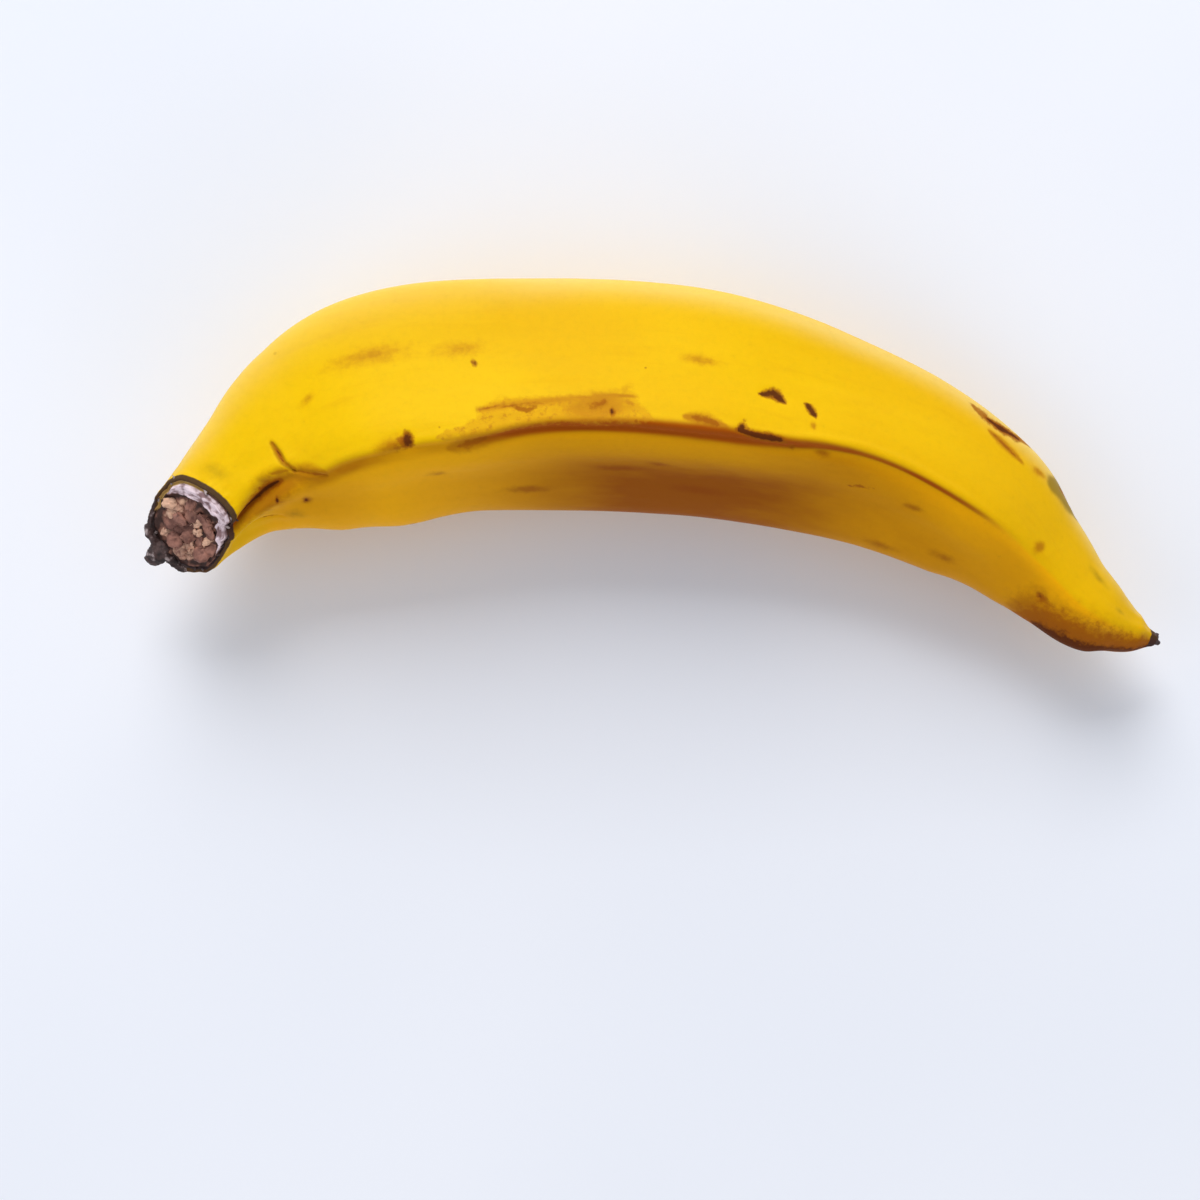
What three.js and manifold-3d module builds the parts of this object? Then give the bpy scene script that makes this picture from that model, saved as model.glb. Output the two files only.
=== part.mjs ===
// A ripe plantain, as picked: one closed solid from its cut stem to its blossom tip, lying on its side on a
// table, so that its bow lies flat. Millimetres, +Z up. +X runs from the stem to the tip, and +Y to the
// outside of the bow. The origin is on the table, under the middle of the fruit's own box.
import * as THREE from "three";
import { mergeVertices } from "three/addons/utils/BufferGeometryUtils.js";
import Module from "manifold-3d";

// Driving dimensions.
const SPAN = 232; // straight line from the middle of the cut stem to the end of the tip
const BOW = 43.5; // how far the middle of the fruit stands off that line
const GIRTH = 55; // thickness at the fullest part, seen from above
const DEPTH = 51; // the same thickness, seen from the side
const NECK_ACROSS = 30; // thickness where the fruit narrows to its stem
const STEM_ACROSS = 22; // thickness of the stem where it was cut
const TIP_ACROSS = 4; // thickness of the tip's dried end
const STEM_LIFT = 25; // height of the stem's underside over the table, at the cut
const TIP_LIFT = 18; // height of the tip's underside over the table
const CUT_SLANT = 36; // degrees that the knife's cut leans up from square across the stem
const CUT_REACH = 26; // how far along the stem the skin still follows that lean
const PRESS = 1.2; // how deep the skin is flattened where the fruit lies on the table

// The cross-section is a pentagon with round corners. FACES are the directions that its sides look in, in
// degrees, where 0 is the outside of the bow and 90 is up. The ridges run between them.
const FACES = [52, 138, 198, 264, 334];
const EDGE = 6; // how crisp the ridges are: 2 is round, 20 is a sharp pentagon

// Fineness of the mesh: rings along the fruit, and points round each ring.
const RINGS = 60;
const SIDES = 30;

// Stations along the fruit, stem first: how far along SPAN; how far out to BOW; height of the underside over
// the table; thickness; degrees that the ridges have turned; how angular, where 0 is a circle.
const STATIONS = [
  { along: 0, off: 0, lift: STEM_LIFT, across: STEM_ACROSS, turn: 12, angular: 0.4 },
  { along: 0.045, off: 0.3, lift: 0.66 * STEM_LIFT, across: NECK_ACROSS, turn: 12, angular: 0.7 },
  { along: 0.1, off: 0.56, lift: 0.24 * STEM_LIFT, across: 0.79 * GIRTH, turn: 10, angular: 0.95 },
  { along: 0.18, off: 0.79, lift: 0.04 * STEM_LIFT, across: 0.96 * GIRTH, turn: 7, angular: 1 },
  { along: 0.31, off: 0.93, lift: 0, across: GIRTH, turn: 3, angular: 1 },
  { along: 0.5, off: 1, lift: 0, across: 0.98 * GIRTH, turn: 0, angular: 1 },
  { along: 0.68, off: 0.87, lift: 0, across: 0.85 * GIRTH, turn: -2, angular: 1 },
  { along: 0.8, off: 0.63, lift: 0.2 * TIP_LIFT, across: 0.71 * GIRTH, turn: -3, angular: 0.95 },
  { along: 0.87, off: 0.36, lift: 0.45 * TIP_LIFT, across: 0.51 * GIRTH, turn: -3, angular: 0.8 },
  { along: 0.92, off: 0.14, lift: 0.7 * TIP_LIFT, across: 0.37 * GIRTH, turn: -3, angular: 0.55 },
  { along: 0.965, off: 0.03, lift: 0.9 * TIP_LIFT, across: 0.19 * GIRTH, turn: -3, angular: 0.3 },
  { along: 1, off: 0, lift: TIP_LIFT, across: TIP_ACROSS, turn: -3, angular: 0 },
];

// One of the stations' values, smoothed between them. t runs from 0 at the stem to 1 at the tip.
function between(key, t) {
  const place = t * (STATIONS.length - 1);
  const i = Math.min(Math.floor(place), STATIONS.length - 2);
  const f = place - i;
  const value = (k) => STATIONS[THREE.MathUtils.clamp(k, 0, STATIONS.length - 1)][key];
  const [a, b, c, d] = [value(i - 1), value(i), value(i + 1), value(i + 2)];
  return b + 0.5 * f * (c - a + f * (2 * a - 5 * b + 4 * c - d + f * (3 * (b - c) + d - a)));
}

// The middle of the fruit at t.
function spine(t) {
  const halfDepth = 0.5 * between("across", t) * (DEPTH / GIRTH);
  const height = between("lift", t) + halfDepth - PRESS;
  return new THREE.Vector3(SPAN * between("along", t), BOW * between("off", t), height);
}

// The cross-section's outline at t, as points that reach from -1 to 1 both ways.
function outline(t) {
  const turn = between("turn", t);
  const angular = between("angular", t);
  const faces = FACES.map((face) => THREE.MathUtils.degToRad(face + turn));
  const points = [];
  for (let k = 0; k < SIDES; k++) {
    const angle = (2 * Math.PI * k) / SIDES;
    const shares = faces.map((face) => Math.max(0, Math.cos(angle - face)) ** EDGE);
    const pentagon = shares.reduce((sum, share) => sum + share) ** (-1 / EDGE);
    const radius = THREE.MathUtils.lerp(1, pentagon, angular);
    points.push(new THREE.Vector2(radius * Math.cos(angle), radius * Math.sin(angle)));
  }
  const box = new THREE.Box2().setFromPoints(points);
  const middle = box.getCenter(new THREE.Vector2());
  const reach = box.getSize(new THREE.Vector2()).multiplyScalar(0.5);
  return points.map((point) => point.sub(middle).divide(reach));
}

// The skin's points round the fruit at t. Near the cut they lean with it.
function ring(t) {
  const centre = spine(t);
  const step = 0.5 / RINGS;
  const tangent = spine(Math.min(1, t + step)).sub(spine(Math.max(0, t - step))).normalize();
  const outward = new THREE.Vector3(0, 0, 1).cross(tangent).normalize();
  const upward = new THREE.Vector3().crossVectors(tangent, outward);
  const fromCut = centre.distanceTo(spine(0));
  const lean = 1 - THREE.MathUtils.smoothstep(fromCut, 0, CUT_REACH);
  const slope = lean * Math.tan(THREE.MathUtils.degToRad(CUT_SLANT));
  const halfWide = 0.5 * between("across", t);
  const halfTall = halfWide * (DEPTH / GIRTH);
  return outline(t).map(({ x, y }) => {
    const point = centre.clone().addScaledVector(outward, halfWide * x);
    point.addScaledVector(upward, halfTall * y);
    return point.addScaledVector(tangent, slope * halfTall * y);
  });
}

// The whole skin as one closed mesh: rings joined by bands, and a flat cap on each end.
function skin() {
  const points = [];
  for (let i = 0; i <= RINGS; i++) points.push(...ring(i / RINGS));
  const index = [];
  for (let i = 0; i < RINGS; i++) {
    for (let k = 0; k < SIDES; k++) {
      const a = i * SIDES + k;
      const b = i * SIDES + ((k + 1) % SIDES);
      index.push(a, b, b + SIDES, a, b + SIDES, a + SIDES);
    }
  }
  const lastRing = RINGS * SIDES;
  const stemCap = points.push(spine(0)) - 1;
  const tipCap = points.push(spine(1)) - 1;
  for (let k = 0; k < SIDES; k++) {
    const next = (k + 1) % SIDES;
    index.push(stemCap, next, k);
    index.push(tipCap, lastRing + k, lastRing + next);
  }
  return new THREE.BufferGeometry().setFromPoints(points).setIndex(index);
}

const wasm = await Module();
wasm.setup();

// A closed geometry as a solid that can be cut.
function solidOf(geometry) {
  geometry.deleteAttribute("normal");
  geometry.deleteAttribute("uv");
  const merged = mergeVertices(geometry);
  const vertProperties = merged.attributes.position.array;
  const triVerts = new Uint32Array(merged.index.array);
  return new wasm.Manifold(new wasm.Mesh({ numProp: 3, vertProperties, triVerts }));
}

// A solid's faces as a geometry.
function geometryOf(solid) {
  const mesh = solid.getMesh();
  const geometry = new THREE.BufferGeometry();
  geometry.setAttribute("position", new THREE.BufferAttribute(mesh.vertProperties, 3));
  geometry.setIndex(new THREE.BufferAttribute(mesh.triVerts, 1));
  geometry.computeVertexNormals();
  return geometry;
}

// The table, as a slab whose top is the plane that the fruit is pressed against.
function table() {
  const margin = 2 * GIRTH;
  const slab = new THREE.BoxGeometry(SPAN + 2 * margin, BOW + 2 * margin, GIRTH);
  return slab.translate(SPAN / 2, BOW / 2, -GIRTH / 2);
}

const fruit = geometryOf(solidOf(skin()).subtract(solidOf(table())));
fruit.computeBoundingBox();
const middle = fruit.boundingBox.getCenter(new THREE.Vector3());

const peel = new THREE.MeshStandardMaterial({ color: 0xf0bd12, roughness: 0.5, metalness: 0 });
const plantain = new THREE.Mesh(fruit, peel);
plantain.name = "plantain";
plantain.position.set(-middle.x, -middle.y, 0);

const model = new THREE.Group();
model.add(plantain);
export default model;
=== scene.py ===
"""A ripe plantain lying on its side: its peel, the knife cut across its stem and its dried ends.

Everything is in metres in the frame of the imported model: +X runs from the stem to the blossom tip, +Y to the
outside of the bow, +Z up. Places on the fruit are given as millimetres along it from the cut, and as degrees
round it, where 0 is the outside of the bow and 90 is up.
"""

from __future__ import annotations

import logging
import math
from dataclasses import dataclass, field
from enum import Enum
from typing import Mapping, Sequence, Union

import bpy
import numpy as np
from mathutils import Matrix, Vector

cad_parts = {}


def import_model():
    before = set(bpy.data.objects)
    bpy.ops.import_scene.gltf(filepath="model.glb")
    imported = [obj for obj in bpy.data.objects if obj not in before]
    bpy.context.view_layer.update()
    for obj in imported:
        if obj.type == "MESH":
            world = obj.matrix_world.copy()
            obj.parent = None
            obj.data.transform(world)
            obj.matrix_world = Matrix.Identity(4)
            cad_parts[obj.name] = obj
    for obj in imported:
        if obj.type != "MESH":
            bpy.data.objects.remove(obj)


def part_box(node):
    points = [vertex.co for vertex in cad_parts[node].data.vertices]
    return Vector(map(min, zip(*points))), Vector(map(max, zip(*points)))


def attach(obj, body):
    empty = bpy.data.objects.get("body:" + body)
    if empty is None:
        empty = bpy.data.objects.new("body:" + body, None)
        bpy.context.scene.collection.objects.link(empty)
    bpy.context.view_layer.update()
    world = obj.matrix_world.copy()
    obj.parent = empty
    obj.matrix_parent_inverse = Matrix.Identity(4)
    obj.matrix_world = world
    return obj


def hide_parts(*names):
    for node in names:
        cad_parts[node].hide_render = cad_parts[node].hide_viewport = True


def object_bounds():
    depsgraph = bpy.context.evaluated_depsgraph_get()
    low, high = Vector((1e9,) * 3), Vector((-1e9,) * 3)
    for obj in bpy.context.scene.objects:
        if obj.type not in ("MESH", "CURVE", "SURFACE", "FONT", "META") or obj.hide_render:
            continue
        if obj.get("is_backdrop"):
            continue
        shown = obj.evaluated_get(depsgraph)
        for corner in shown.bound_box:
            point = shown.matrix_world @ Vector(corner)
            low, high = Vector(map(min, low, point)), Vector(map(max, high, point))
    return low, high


LOG = logging.getLogger("plantain")
NODE = "plantain"
BODY = "root"
MM = 0.001

# A value that changes along the fruit: pairs of millimetres from the cut and the value there.
Profile = tuple[tuple[float, float], ...]


class Slot(Enum):
    """The record's material slots."""

    PEEL = "peel"
    CUT_STEM = "cut_stem"


class Tone(Enum):
    """The stains that a mark on the peel can have, named as the peel's attributes are.

    BLACK, BROWN and CORK have ragged edges. SMUDGE and OLIVE are soft.
    """

    BLACK = "black"
    BROWN = "brown"
    CORK = "cork"
    SMUDGE = "smudge"
    OLIVE = "olive"


# ---------------------------------------------------------------------------------------------------------
# Smooth numbers
# ---------------------------------------------------------------------------------------------------------


def ease(low: float, high: float, x: np.ndarray) -> np.ndarray:
    """Rises smoothly from 0 to 1.

    Args:
        low: Where the rise starts.
        high: Where it ends. It may be below low, and the result then falls.
        x: The values to look up.

    Returns:
        The share of the rise at each value.
    """
    part = np.clip((x - low) / (high - low), 0.0, 1.0)
    return part * part * (3.0 - 2.0 * part)


def hump(x: np.ndarray, middle: Union[float, np.ndarray], reach: Union[float, np.ndarray]) -> np.ndarray:
    """A smooth bump of height 1 at middle that has died away by about twice reach."""
    return np.exp(-(((x - middle) / reach) ** 2))


def through(knots: Sequence[tuple[float, float]], x: np.ndarray) -> np.ndarray:
    """A smooth line through a few knots.

    Args:
        knots: Pairs of place and value, in order.
        x: The places to look up.

    Returns:
        The value at each place, level beyond the ends.
    """
    at = np.array([k[0] for k in knots], float)
    to = np.array([k[1] for k in knots], float)
    slope = np.gradient(to, at)
    slope[[0, -1]] = 0.0
    x = np.clip(x, at[0], at[-1])
    i = np.clip(np.searchsorted(at, x, side="right") - 1, 0, len(at) - 2)
    wide = at[i + 1] - at[i]
    f = (x - at[i]) / wide
    return (
        (1 + 2 * f) * (1 - f) ** 2 * to[i]
        + f * (1 - f) ** 2 * wide * slope[i]
        + f * f * (3 - 2 * f) * to[i + 1]
        + f * f * (f - 1) * wide * slope[i + 1]
    )


@dataclass(frozen=True)
class Lumps:
    """Smooth seeded unevenness through space, from about -1 to 1."""

    seed: int

    def at(self, points: np.ndarray, size: float) -> np.ndarray:
        """One layer of lumps.

        Args:
            points: Points in the last axis.
            size: How far apart the lumps are, in the points' unit.

        Returns:
            A value for each point.
        """
        chance = np.random.default_rng(self.seed)
        order = chance.permutation(256)
        slopes = chance.normal(size=(256, 3))
        slopes /= np.linalg.norm(slopes, axis=1, keepdims=True)
        cell = points / size
        low = np.floor(cell).astype(int)
        part = cell - low
        weight = part**3 * (part * (part * 6 - 15) + 10)
        total = np.zeros(points.shape[:-1])
        for corner in np.ndindex(2, 2, 2):
            step = np.array(corner)
            x, y, z = np.moveaxis((low + step) & 255, -1, 0)
            key = order[(order[(order[x] + y) & 255] + z) & 255]
            pull = (slopes[key] * (part - step)).sum(-1)
            total += pull * np.where(step == 1, weight, 1 - weight).prod(-1)
        return 1.7 * total

    def layered(self, points: np.ndarray, size: float, layers: int = 3) -> np.ndarray:
        """Several layers of lumps, each half as big and half as strong as the last.

        Args:
            points: Points in the last axis.
            size: How far apart the biggest lumps are.
            layers: How many layers.

        Returns:
            A value for each point.
        """
        total = np.zeros(points.shape[:-1])
        for k in range(layers):
            total += Lumps(self.seed + k).at(points, size / 2**k) / 2**k
        return total


# ---------------------------------------------------------------------------------------------------------
# The fruit's form
# ---------------------------------------------------------------------------------------------------------


@dataclass(frozen=True)
class Station:
    """One place along the fruit.

    along and off are shares of the span and of the bow, lift is the underside's height, across is the thickness,
    turn is how many degrees the ridges have turned, and angular runs from 0, a circle, to 1, the pentagon.
    """

    along: float
    off: float
    lift: float
    across: float
    turn: float
    angular: float


@dataclass
class Frames:
    """The fruit's middle line and its directions, one row for each ring."""

    t: np.ndarray
    along_mm: np.ndarray
    centre: np.ndarray
    tangent: np.ndarray
    outward: np.ndarray
    upward: np.ndarray


@dataclass
class Form:
    """The plain form of the fruit, with the sizes that the solid model has."""

    span: float = 0.232
    bow: float = 0.0435
    girth: float = 0.055
    depth: float = 0.051
    neck_across: float = 0.030
    stem_across: float = 0.022
    tip_across: float = 0.004
    stem_lift: float = 0.025
    tip_lift: float = 0.018
    cut_slant: float = math.radians(36)
    cut_reach: float = 0.026
    press: float = 0.0012
    faces: tuple[float, ...] = (52, 138, 198, 264, 334)
    edges: Profile = ((0, 6), (30, 7), (60, 9), (200, 9), (226, 6))
    ridge_line: Profile = (
        (0, 122),
        (14, 118),
        (28, 115),
        (40, 111.5),
        (54, 110),
        (66, 108.5),
        (78, 107),
        (90, 103),
        (114, 101),
        (132, 100.5),
        (150, 98),
        (162, 94.3),
        (205, 92.8),
        (258, 90),
    )
    stations: list[Station] = field(default_factory=list)

    def __post_init__(self) -> None:
        """Fills in the stations from the sizes."""
        g, sl, tl = self.girth, self.stem_lift, self.tip_lift
        self.stations = [
            Station(0, 0, sl, self.stem_across, 12, 0.4),
            Station(0.045, 0.3, 0.66 * sl, self.neck_across, 12, 0.7),
            Station(0.1, 0.56, 0.24 * sl, 0.79 * g, 10, 0.95),
            Station(0.18, 0.79, 0.04 * sl, 0.96 * g, 7, 1),
            Station(0.31, 0.93, 0, g, 3, 1),
            Station(0.5, 1, 0, 0.98 * g, 0, 1),
            Station(0.68, 0.87, 0, 0.85 * g, -2, 1),
            Station(0.8, 0.63, 0.2 * tl, 0.71 * g, -3, 0.95),
            Station(0.87, 0.36, 0.45 * tl, 0.51 * g, -3, 0.8),
            Station(0.92, 0.14, 0.7 * tl, 0.37 * g, -3, 0.55),
            Station(0.965, 0.03, 0.9 * tl, 0.19 * g, -3, 0.3),
            Station(1, 0, tl, self.tip_across, -3, 0),
        ]

    def between(self, key: str, t: np.ndarray) -> np.ndarray:
        """One of the stations' values, smoothed between them.

        Args:
            key: The name of the value.
            t: Places from 0 at the stem to 1 at the tip, evenly spread over the stations.

        Returns:
            The value at each place.
        """
        values = np.array([getattr(s, key) for s in self.stations], float)
        last = len(values) - 1
        place = np.asarray(t, float) * last
        i = np.minimum(place.astype(int), last - 1)
        f = place - i
        a, b, c, d = (values[np.clip(i + k, 0, last)] for k in (-1, 0, 1, 2))
        return b + 0.5 * f * (c - a + f * (2 * a - 5 * b + 4 * c - d + f * (3 * (b - c) + d - a)))

    def spine(self, t: np.ndarray) -> np.ndarray:
        """The middle of the fruit.

        Args:
            t: Places from 0 at the stem to 1 at the tip.

        Returns:
            A point for each place.
        """
        half_depth = 0.5 * self.between("across", t) * self.depth / self.girth
        x = self.span * self.between("along", t)
        y = self.bow * self.between("off", t)
        return np.stack([x, y, self.between("lift", t) + half_depth - self.press], axis=-1)

    def frames(self, gaps: Sequence[tuple[float, float]], rings: int) -> Frames:
        """The rings' places and directions.

        Args:
            gaps: How close together the rings lie, as pairs of share of the length and wanted gap.
            rings: How many rings.

        Returns:
            The frames, stem first.
        """
        fine = np.linspace(0, 1, 4001)
        walk = np.linalg.norm(np.diff(self.spine(fine), axis=0), axis=1)
        length = np.concatenate([[0.0], np.cumsum(walk)])
        share = length / length[-1]
        crowd = 1.0 / through(gaps, share)
        filled = np.concatenate([[0.0], np.cumsum(0.5 * (crowd[1:] + crowd[:-1]) * np.diff(share))])
        t = np.interp(np.linspace(0, filled[-1], rings), filled, fine)
        step = 0.5 / 60
        ahead = self.spine(np.minimum(1, t + step)) - self.spine(np.maximum(0, t - step))
        tangent = ahead / np.linalg.norm(ahead, axis=1, keepdims=True)
        outward = np.cross([0.0, 0.0, 1.0], tangent)
        outward /= np.linalg.norm(outward, axis=1, keepdims=True)
        upward = np.cross(tangent, outward)
        return Frames(t, np.interp(t, fine, length) / MM, self.spine(t), tangent, outward, upward)

    def section(self, frames: Frames, degrees: np.ndarray) -> np.ndarray:
        """The cross-section's outline, as points that reach from -1 to 1 both ways.

        Args:
            frames: The rings.
            degrees: The directions wanted on each ring, one row for each ring.

        Returns:
            Points across and up, for each direction on each ring.
        """
        turn = self.between("turn", frames.t)[:, None]
        angular = self.between("angular", frames.t)[:, None]
        ridge = through(self.ridge_line, frames.along_mm)[:, None]
        shift = ridge - 0.5 * (self.faces[0] + self.faces[1])
        faces = [f + (shift if k < 2 else turn) for k, f in enumerate(self.faces)]
        edge = through(self.edges, frames.along_mm)[:, None]

        def reach(wanted: np.ndarray) -> np.ndarray:
            """The outline's points in some directions.

            Args:
                wanted: The directions in degrees.

            Returns:
                Points across and up.
            """
            total = sum(np.maximum(0, np.cos(np.radians(wanted - f))) ** edge for f in faces)
            radius = 1 + (total ** (-1 / edge) - 1) * angular
            angle = np.radians(wanted)
            return np.stack([radius * np.cos(angle), radius * np.sin(angle)], axis=-1)

        whole = reach(np.broadcast_to(np.arange(0, 360, 2.0), (len(turn), 180)))
        low, high = whole.min(axis=1, keepdims=True), whole.max(axis=1, keepdims=True)
        return (reach(degrees) - 0.5 * (low + high)) / (0.5 * (high - low))

    def surface(self, frames: Frames, degrees: np.ndarray) -> np.ndarray:
        """The plain skin.

        Args:
            frames: The rings.
            degrees: The directions wanted on each ring, one row for each ring.

        Returns:
            A point for each direction on each ring.
        """
        out_up = self.section(frames, degrees)
        half_wide = 0.5 * self.between("across", frames.t)[:, None]
        half_tall = half_wide * self.depth / self.girth
        from_cut = np.linalg.norm(frames.centre - frames.centre[0], axis=1)[:, None]
        slope = math.tan(self.cut_slant) * ease(self.cut_reach, 0, from_cut)
        out, up = half_wide * out_up[..., 0], half_tall * out_up[..., 1]
        return (
            frames.centre[:, None]
            + out[..., None] * frames.outward[:, None]
            + up[..., None] * frames.upward[:, None]
            + (slope * up)[..., None] * frames.tangent[:, None]
        )


# ---------------------------------------------------------------------------------------------------------
# Meshes
# ---------------------------------------------------------------------------------------------------------


@dataclass
class Shell:
    """A closed skin made of rings of points, with a point at the middle of each end."""

    name: str
    rings: np.ndarray
    fields: dict[str, np.ndarray] = field(default_factory=dict)

    def build(self) -> bpy.types.Object:
        """Makes the mesh, its map for baking and its attributes.

        Returns:
            The object, linked to the scene, with its place in its mesh.
        """
        rows, cols = self.rings.shape[:2]
        poles = np.stack([self.rings[0].mean(axis=0), self.rings[-1].mean(axis=0)])
        points = np.concatenate([self.rings.reshape(-1, 3), poles])
        k = np.arange(cols)
        right = (k + 1) % cols
        base = (np.arange(rows - 1) * cols)[:, None]
        quads = np.stack([base + k, base + right, base + right + cols, base + k + cols], axis=-1).reshape(-1, 4)
        first, last = rows * cols, rows * cols + 1
        start = np.stack([right, k, np.full(cols, first)], axis=-1)
        end = np.stack([(rows - 1) * cols + k, (rows - 1) * cols + right, np.full(cols, last)], axis=-1)
        a, b, c, d = (points[quads[:, j]] for j in range(4))
        middle = points.mean(axis=0)
        volume = (np.cross(c - a, d - b) * ((a + b + c + d) / 4 - middle)).sum()
        faces = [*quads.tolist(), *start.tolist(), *end.tolist()]
        if volume < 0:
            faces = [face[::-1] for face in faces]
        mesh = bpy.data.meshes.new(self.name)
        mesh.from_pydata(points.tolist(), [], faces)
        mesh.validate()
        self._map(mesh, rows, cols)
        for name, values in self.fields.items():
            self._store(mesh, name, values)
        mesh.shade_smooth()
        made = bpy.data.objects.new(self.name, mesh)
        bpy.context.scene.collection.objects.link(made)
        return made

    def _map(self, mesh: bpy.types.Mesh, rows: int, cols: int) -> None:
        """Lays the skin out flat: rings up the map, and the way round across it.

        Args:
            mesh: The mesh.
            rows: How many rings it has.
            cols: How many points each ring has.
        """
        step = np.linalg.norm(np.diff(self.rings, axis=0), axis=2).mean(axis=1)
        height = np.concatenate([[0.0], np.cumsum(step)])
        height = 0.01 + 0.98 * height / height[-1]
        count = len(mesh.loops)
        vertex = np.zeros(count, np.int32)
        mesh.loops.foreach_get("vertex_index", vertex)
        starts = np.zeros(len(mesh.polygons), np.int32)
        sizes = np.zeros(len(mesh.polygons), np.int32)
        mesh.polygons.foreach_get("loop_start", starts)
        mesh.polygons.foreach_get("loop_total", sizes)
        owner = np.repeat(np.arange(len(starts)), sizes)
        pole = vertex >= rows * cols
        u = np.where(pole, 0, vertex % cols) / cols
        v = np.where(pole, np.where(vertex == rows * cols, 0.0, 1.0), height[np.minimum(vertex // cols, rows - 1)])
        low = np.full(len(starts), 2.0)
        high = np.full(len(starts), -1.0)
        np.minimum.at(low, owner[~pole], u[~pole])
        np.maximum.at(high, owner[~pole], u[~pole])
        wraps = (high - low > 0.5)[owner]
        u = np.where(wraps & ~pole & (u < 0.5), u + 1.0, u)
        middle = np.where(high - low > 0.5, 1.0 - 0.5 / cols, 0.5 * (low + high))[owner]
        u = np.where(pole, middle, u)
        layer = mesh.uv_layers.new(name="OFBake")
        layer.data.foreach_set("uv", np.stack([u, v], axis=-1).astype(np.float32).ravel())

    @staticmethod
    def _store(mesh: bpy.types.Mesh, name: str, values: np.ndarray) -> None:
        """Stores one value or one vector for each point.

        Args:
            mesh: The mesh.
            name: The attribute's name.
            values: A value or a vector for each point of each ring.
        """
        vector = values.ndim == 3
        flat = values.reshape(-1, 3) if vector else values.reshape(-1)
        ends = np.stack([values[0].mean(axis=0), values[-1].mean(axis=0)])
        whole = np.concatenate([flat, ends]).astype(np.float32)
        kind = "FLOAT_VECTOR" if vector else "FLOAT"
        layer = mesh.attributes.new(name, kind, "POINT")
        layer.data.foreach_set("vector" if vector else "value", whole.ravel())


def normals_of(rings: np.ndarray) -> np.ndarray:
    """The direction out of the skin at each point of its rings.

    Args:
        rings: The skin's points, ring by ring.

    Returns:
        A unit vector for each point.
    """
    round_way = np.roll(rings, -1, axis=1) - np.roll(rings, 1, axis=1)
    long_way = np.gradient(rings, axis=0)
    out = np.cross(round_way, long_way)
    out /= np.maximum(np.linalg.norm(out, axis=2, keepdims=True), 1e-12)
    away = rings - rings.mean(axis=1, keepdims=True)
    return out * np.sign((out * away).sum())


def settle(piece: bpy.types.Object, material: bpy.types.Material, slot: Slot) -> bpy.types.Object:
    """Dresses a finished piece and hangs it on the frame.

    Args:
        piece: The piece.
        material: Its material.
        slot: The record's slot for its finish, which is only named in the log.

    Returns:
        The piece.
    """
    piece.data.materials.clear()
    piece.data.materials.append(material)
    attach(piece, BODY)
    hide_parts(NODE)
    LOG.info("%s: %d faces, slot %s", piece.name, len(piece.data.polygons), slot.value)
    return piece


# ---------------------------------------------------------------------------------------------------------
# Material nodes
# ---------------------------------------------------------------------------------------------------------

Colour = tuple[float, float, float, float]


def paint(red: int, green: int, blue: int) -> Colour:
    """A colour given in the usual 0 to 255, as the shader's light values.

    Args:
        red: The red channel.
        green: The green channel.
        blue: The blue channel.

    Returns:
        The colour, with an alpha of 1.
    """

    def light(x: int) -> float:
        """One channel."""
        share = x / 255
        return share / 12.92 if share <= 0.04045 else ((share + 0.055) / 1.055) ** 2.4

    return (light(red), light(green), light(blue), 1.0)


class Value:
    """A number, vector or colour on its way through a material. Sums written on a number add Math nodes."""

    def __init__(self, nodes: Nodes, socket: bpy.types.NodeSocket) -> None:
        """Wraps a socket.

        Args:
            nodes: Where new nodes go.
            socket: The output socket that gives the value.
        """
        self.nodes = nodes
        self.socket = socket

    def _math(self, operation: str, first: Number, second: Number) -> Value:
        """Adds one Math node.

        Args:
            operation: The node's operation.
            first: Its first value.
            second: Its second value.

        Returns:
            The result.
        """
        return self.nodes.value("ShaderNodeMath", {"operation": operation}, {0: first, 1: second})

    def __add__(self, other: Number) -> Value:
        """self + other."""
        return self._math("ADD", self, other)

    def __radd__(self, other: Number) -> Value:
        """other + self."""
        return self._math("ADD", other, self)

    def __sub__(self, other: Number) -> Value:
        """self - other."""
        return self._math("SUBTRACT", self, other)

    def __rsub__(self, other: Number) -> Value:
        """other - self."""
        return self._math("SUBTRACT", other, self)

    def __mul__(self, other: Number) -> Value:
        """self * other."""
        return self._math("MULTIPLY", self, other)

    def __rmul__(self, other: Number) -> Value:
        """other * self."""
        return self._math("MULTIPLY", other, self)

    def __truediv__(self, other: Number) -> Value:
        """self / other."""
        return self._math("DIVIDE", self, other)

    def __pow__(self, other: Number) -> Value:
        """self to the power of other."""
        return self._math("POWER", self, other)

    def most(self, other: Number) -> Value:
        """The larger of two values."""
        return self._math("MAXIMUM", self, other)

    def least(self, other: Number) -> Value:
        """The smaller of two values."""
        return self._math("MINIMUM", self, other)

    def rise(self, low: float, high: float) -> Value:
        """Rises smoothly from 0 to 1 as the value goes from low to high.

        Args:
            low: Where the rise starts.
            high: Where it ends.

        Returns:
            The share of the rise.
        """
        settings = {"interpolation_type": "SMOOTHSTEP"}
        return self.nodes.value("ShaderNodeMapRange", settings, {0: self, 1: low, 2: high, 3: 0.0, 4: 1.0})


Number = Union[Value, float, int]
Tint = Union[Value, Colour]


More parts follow.
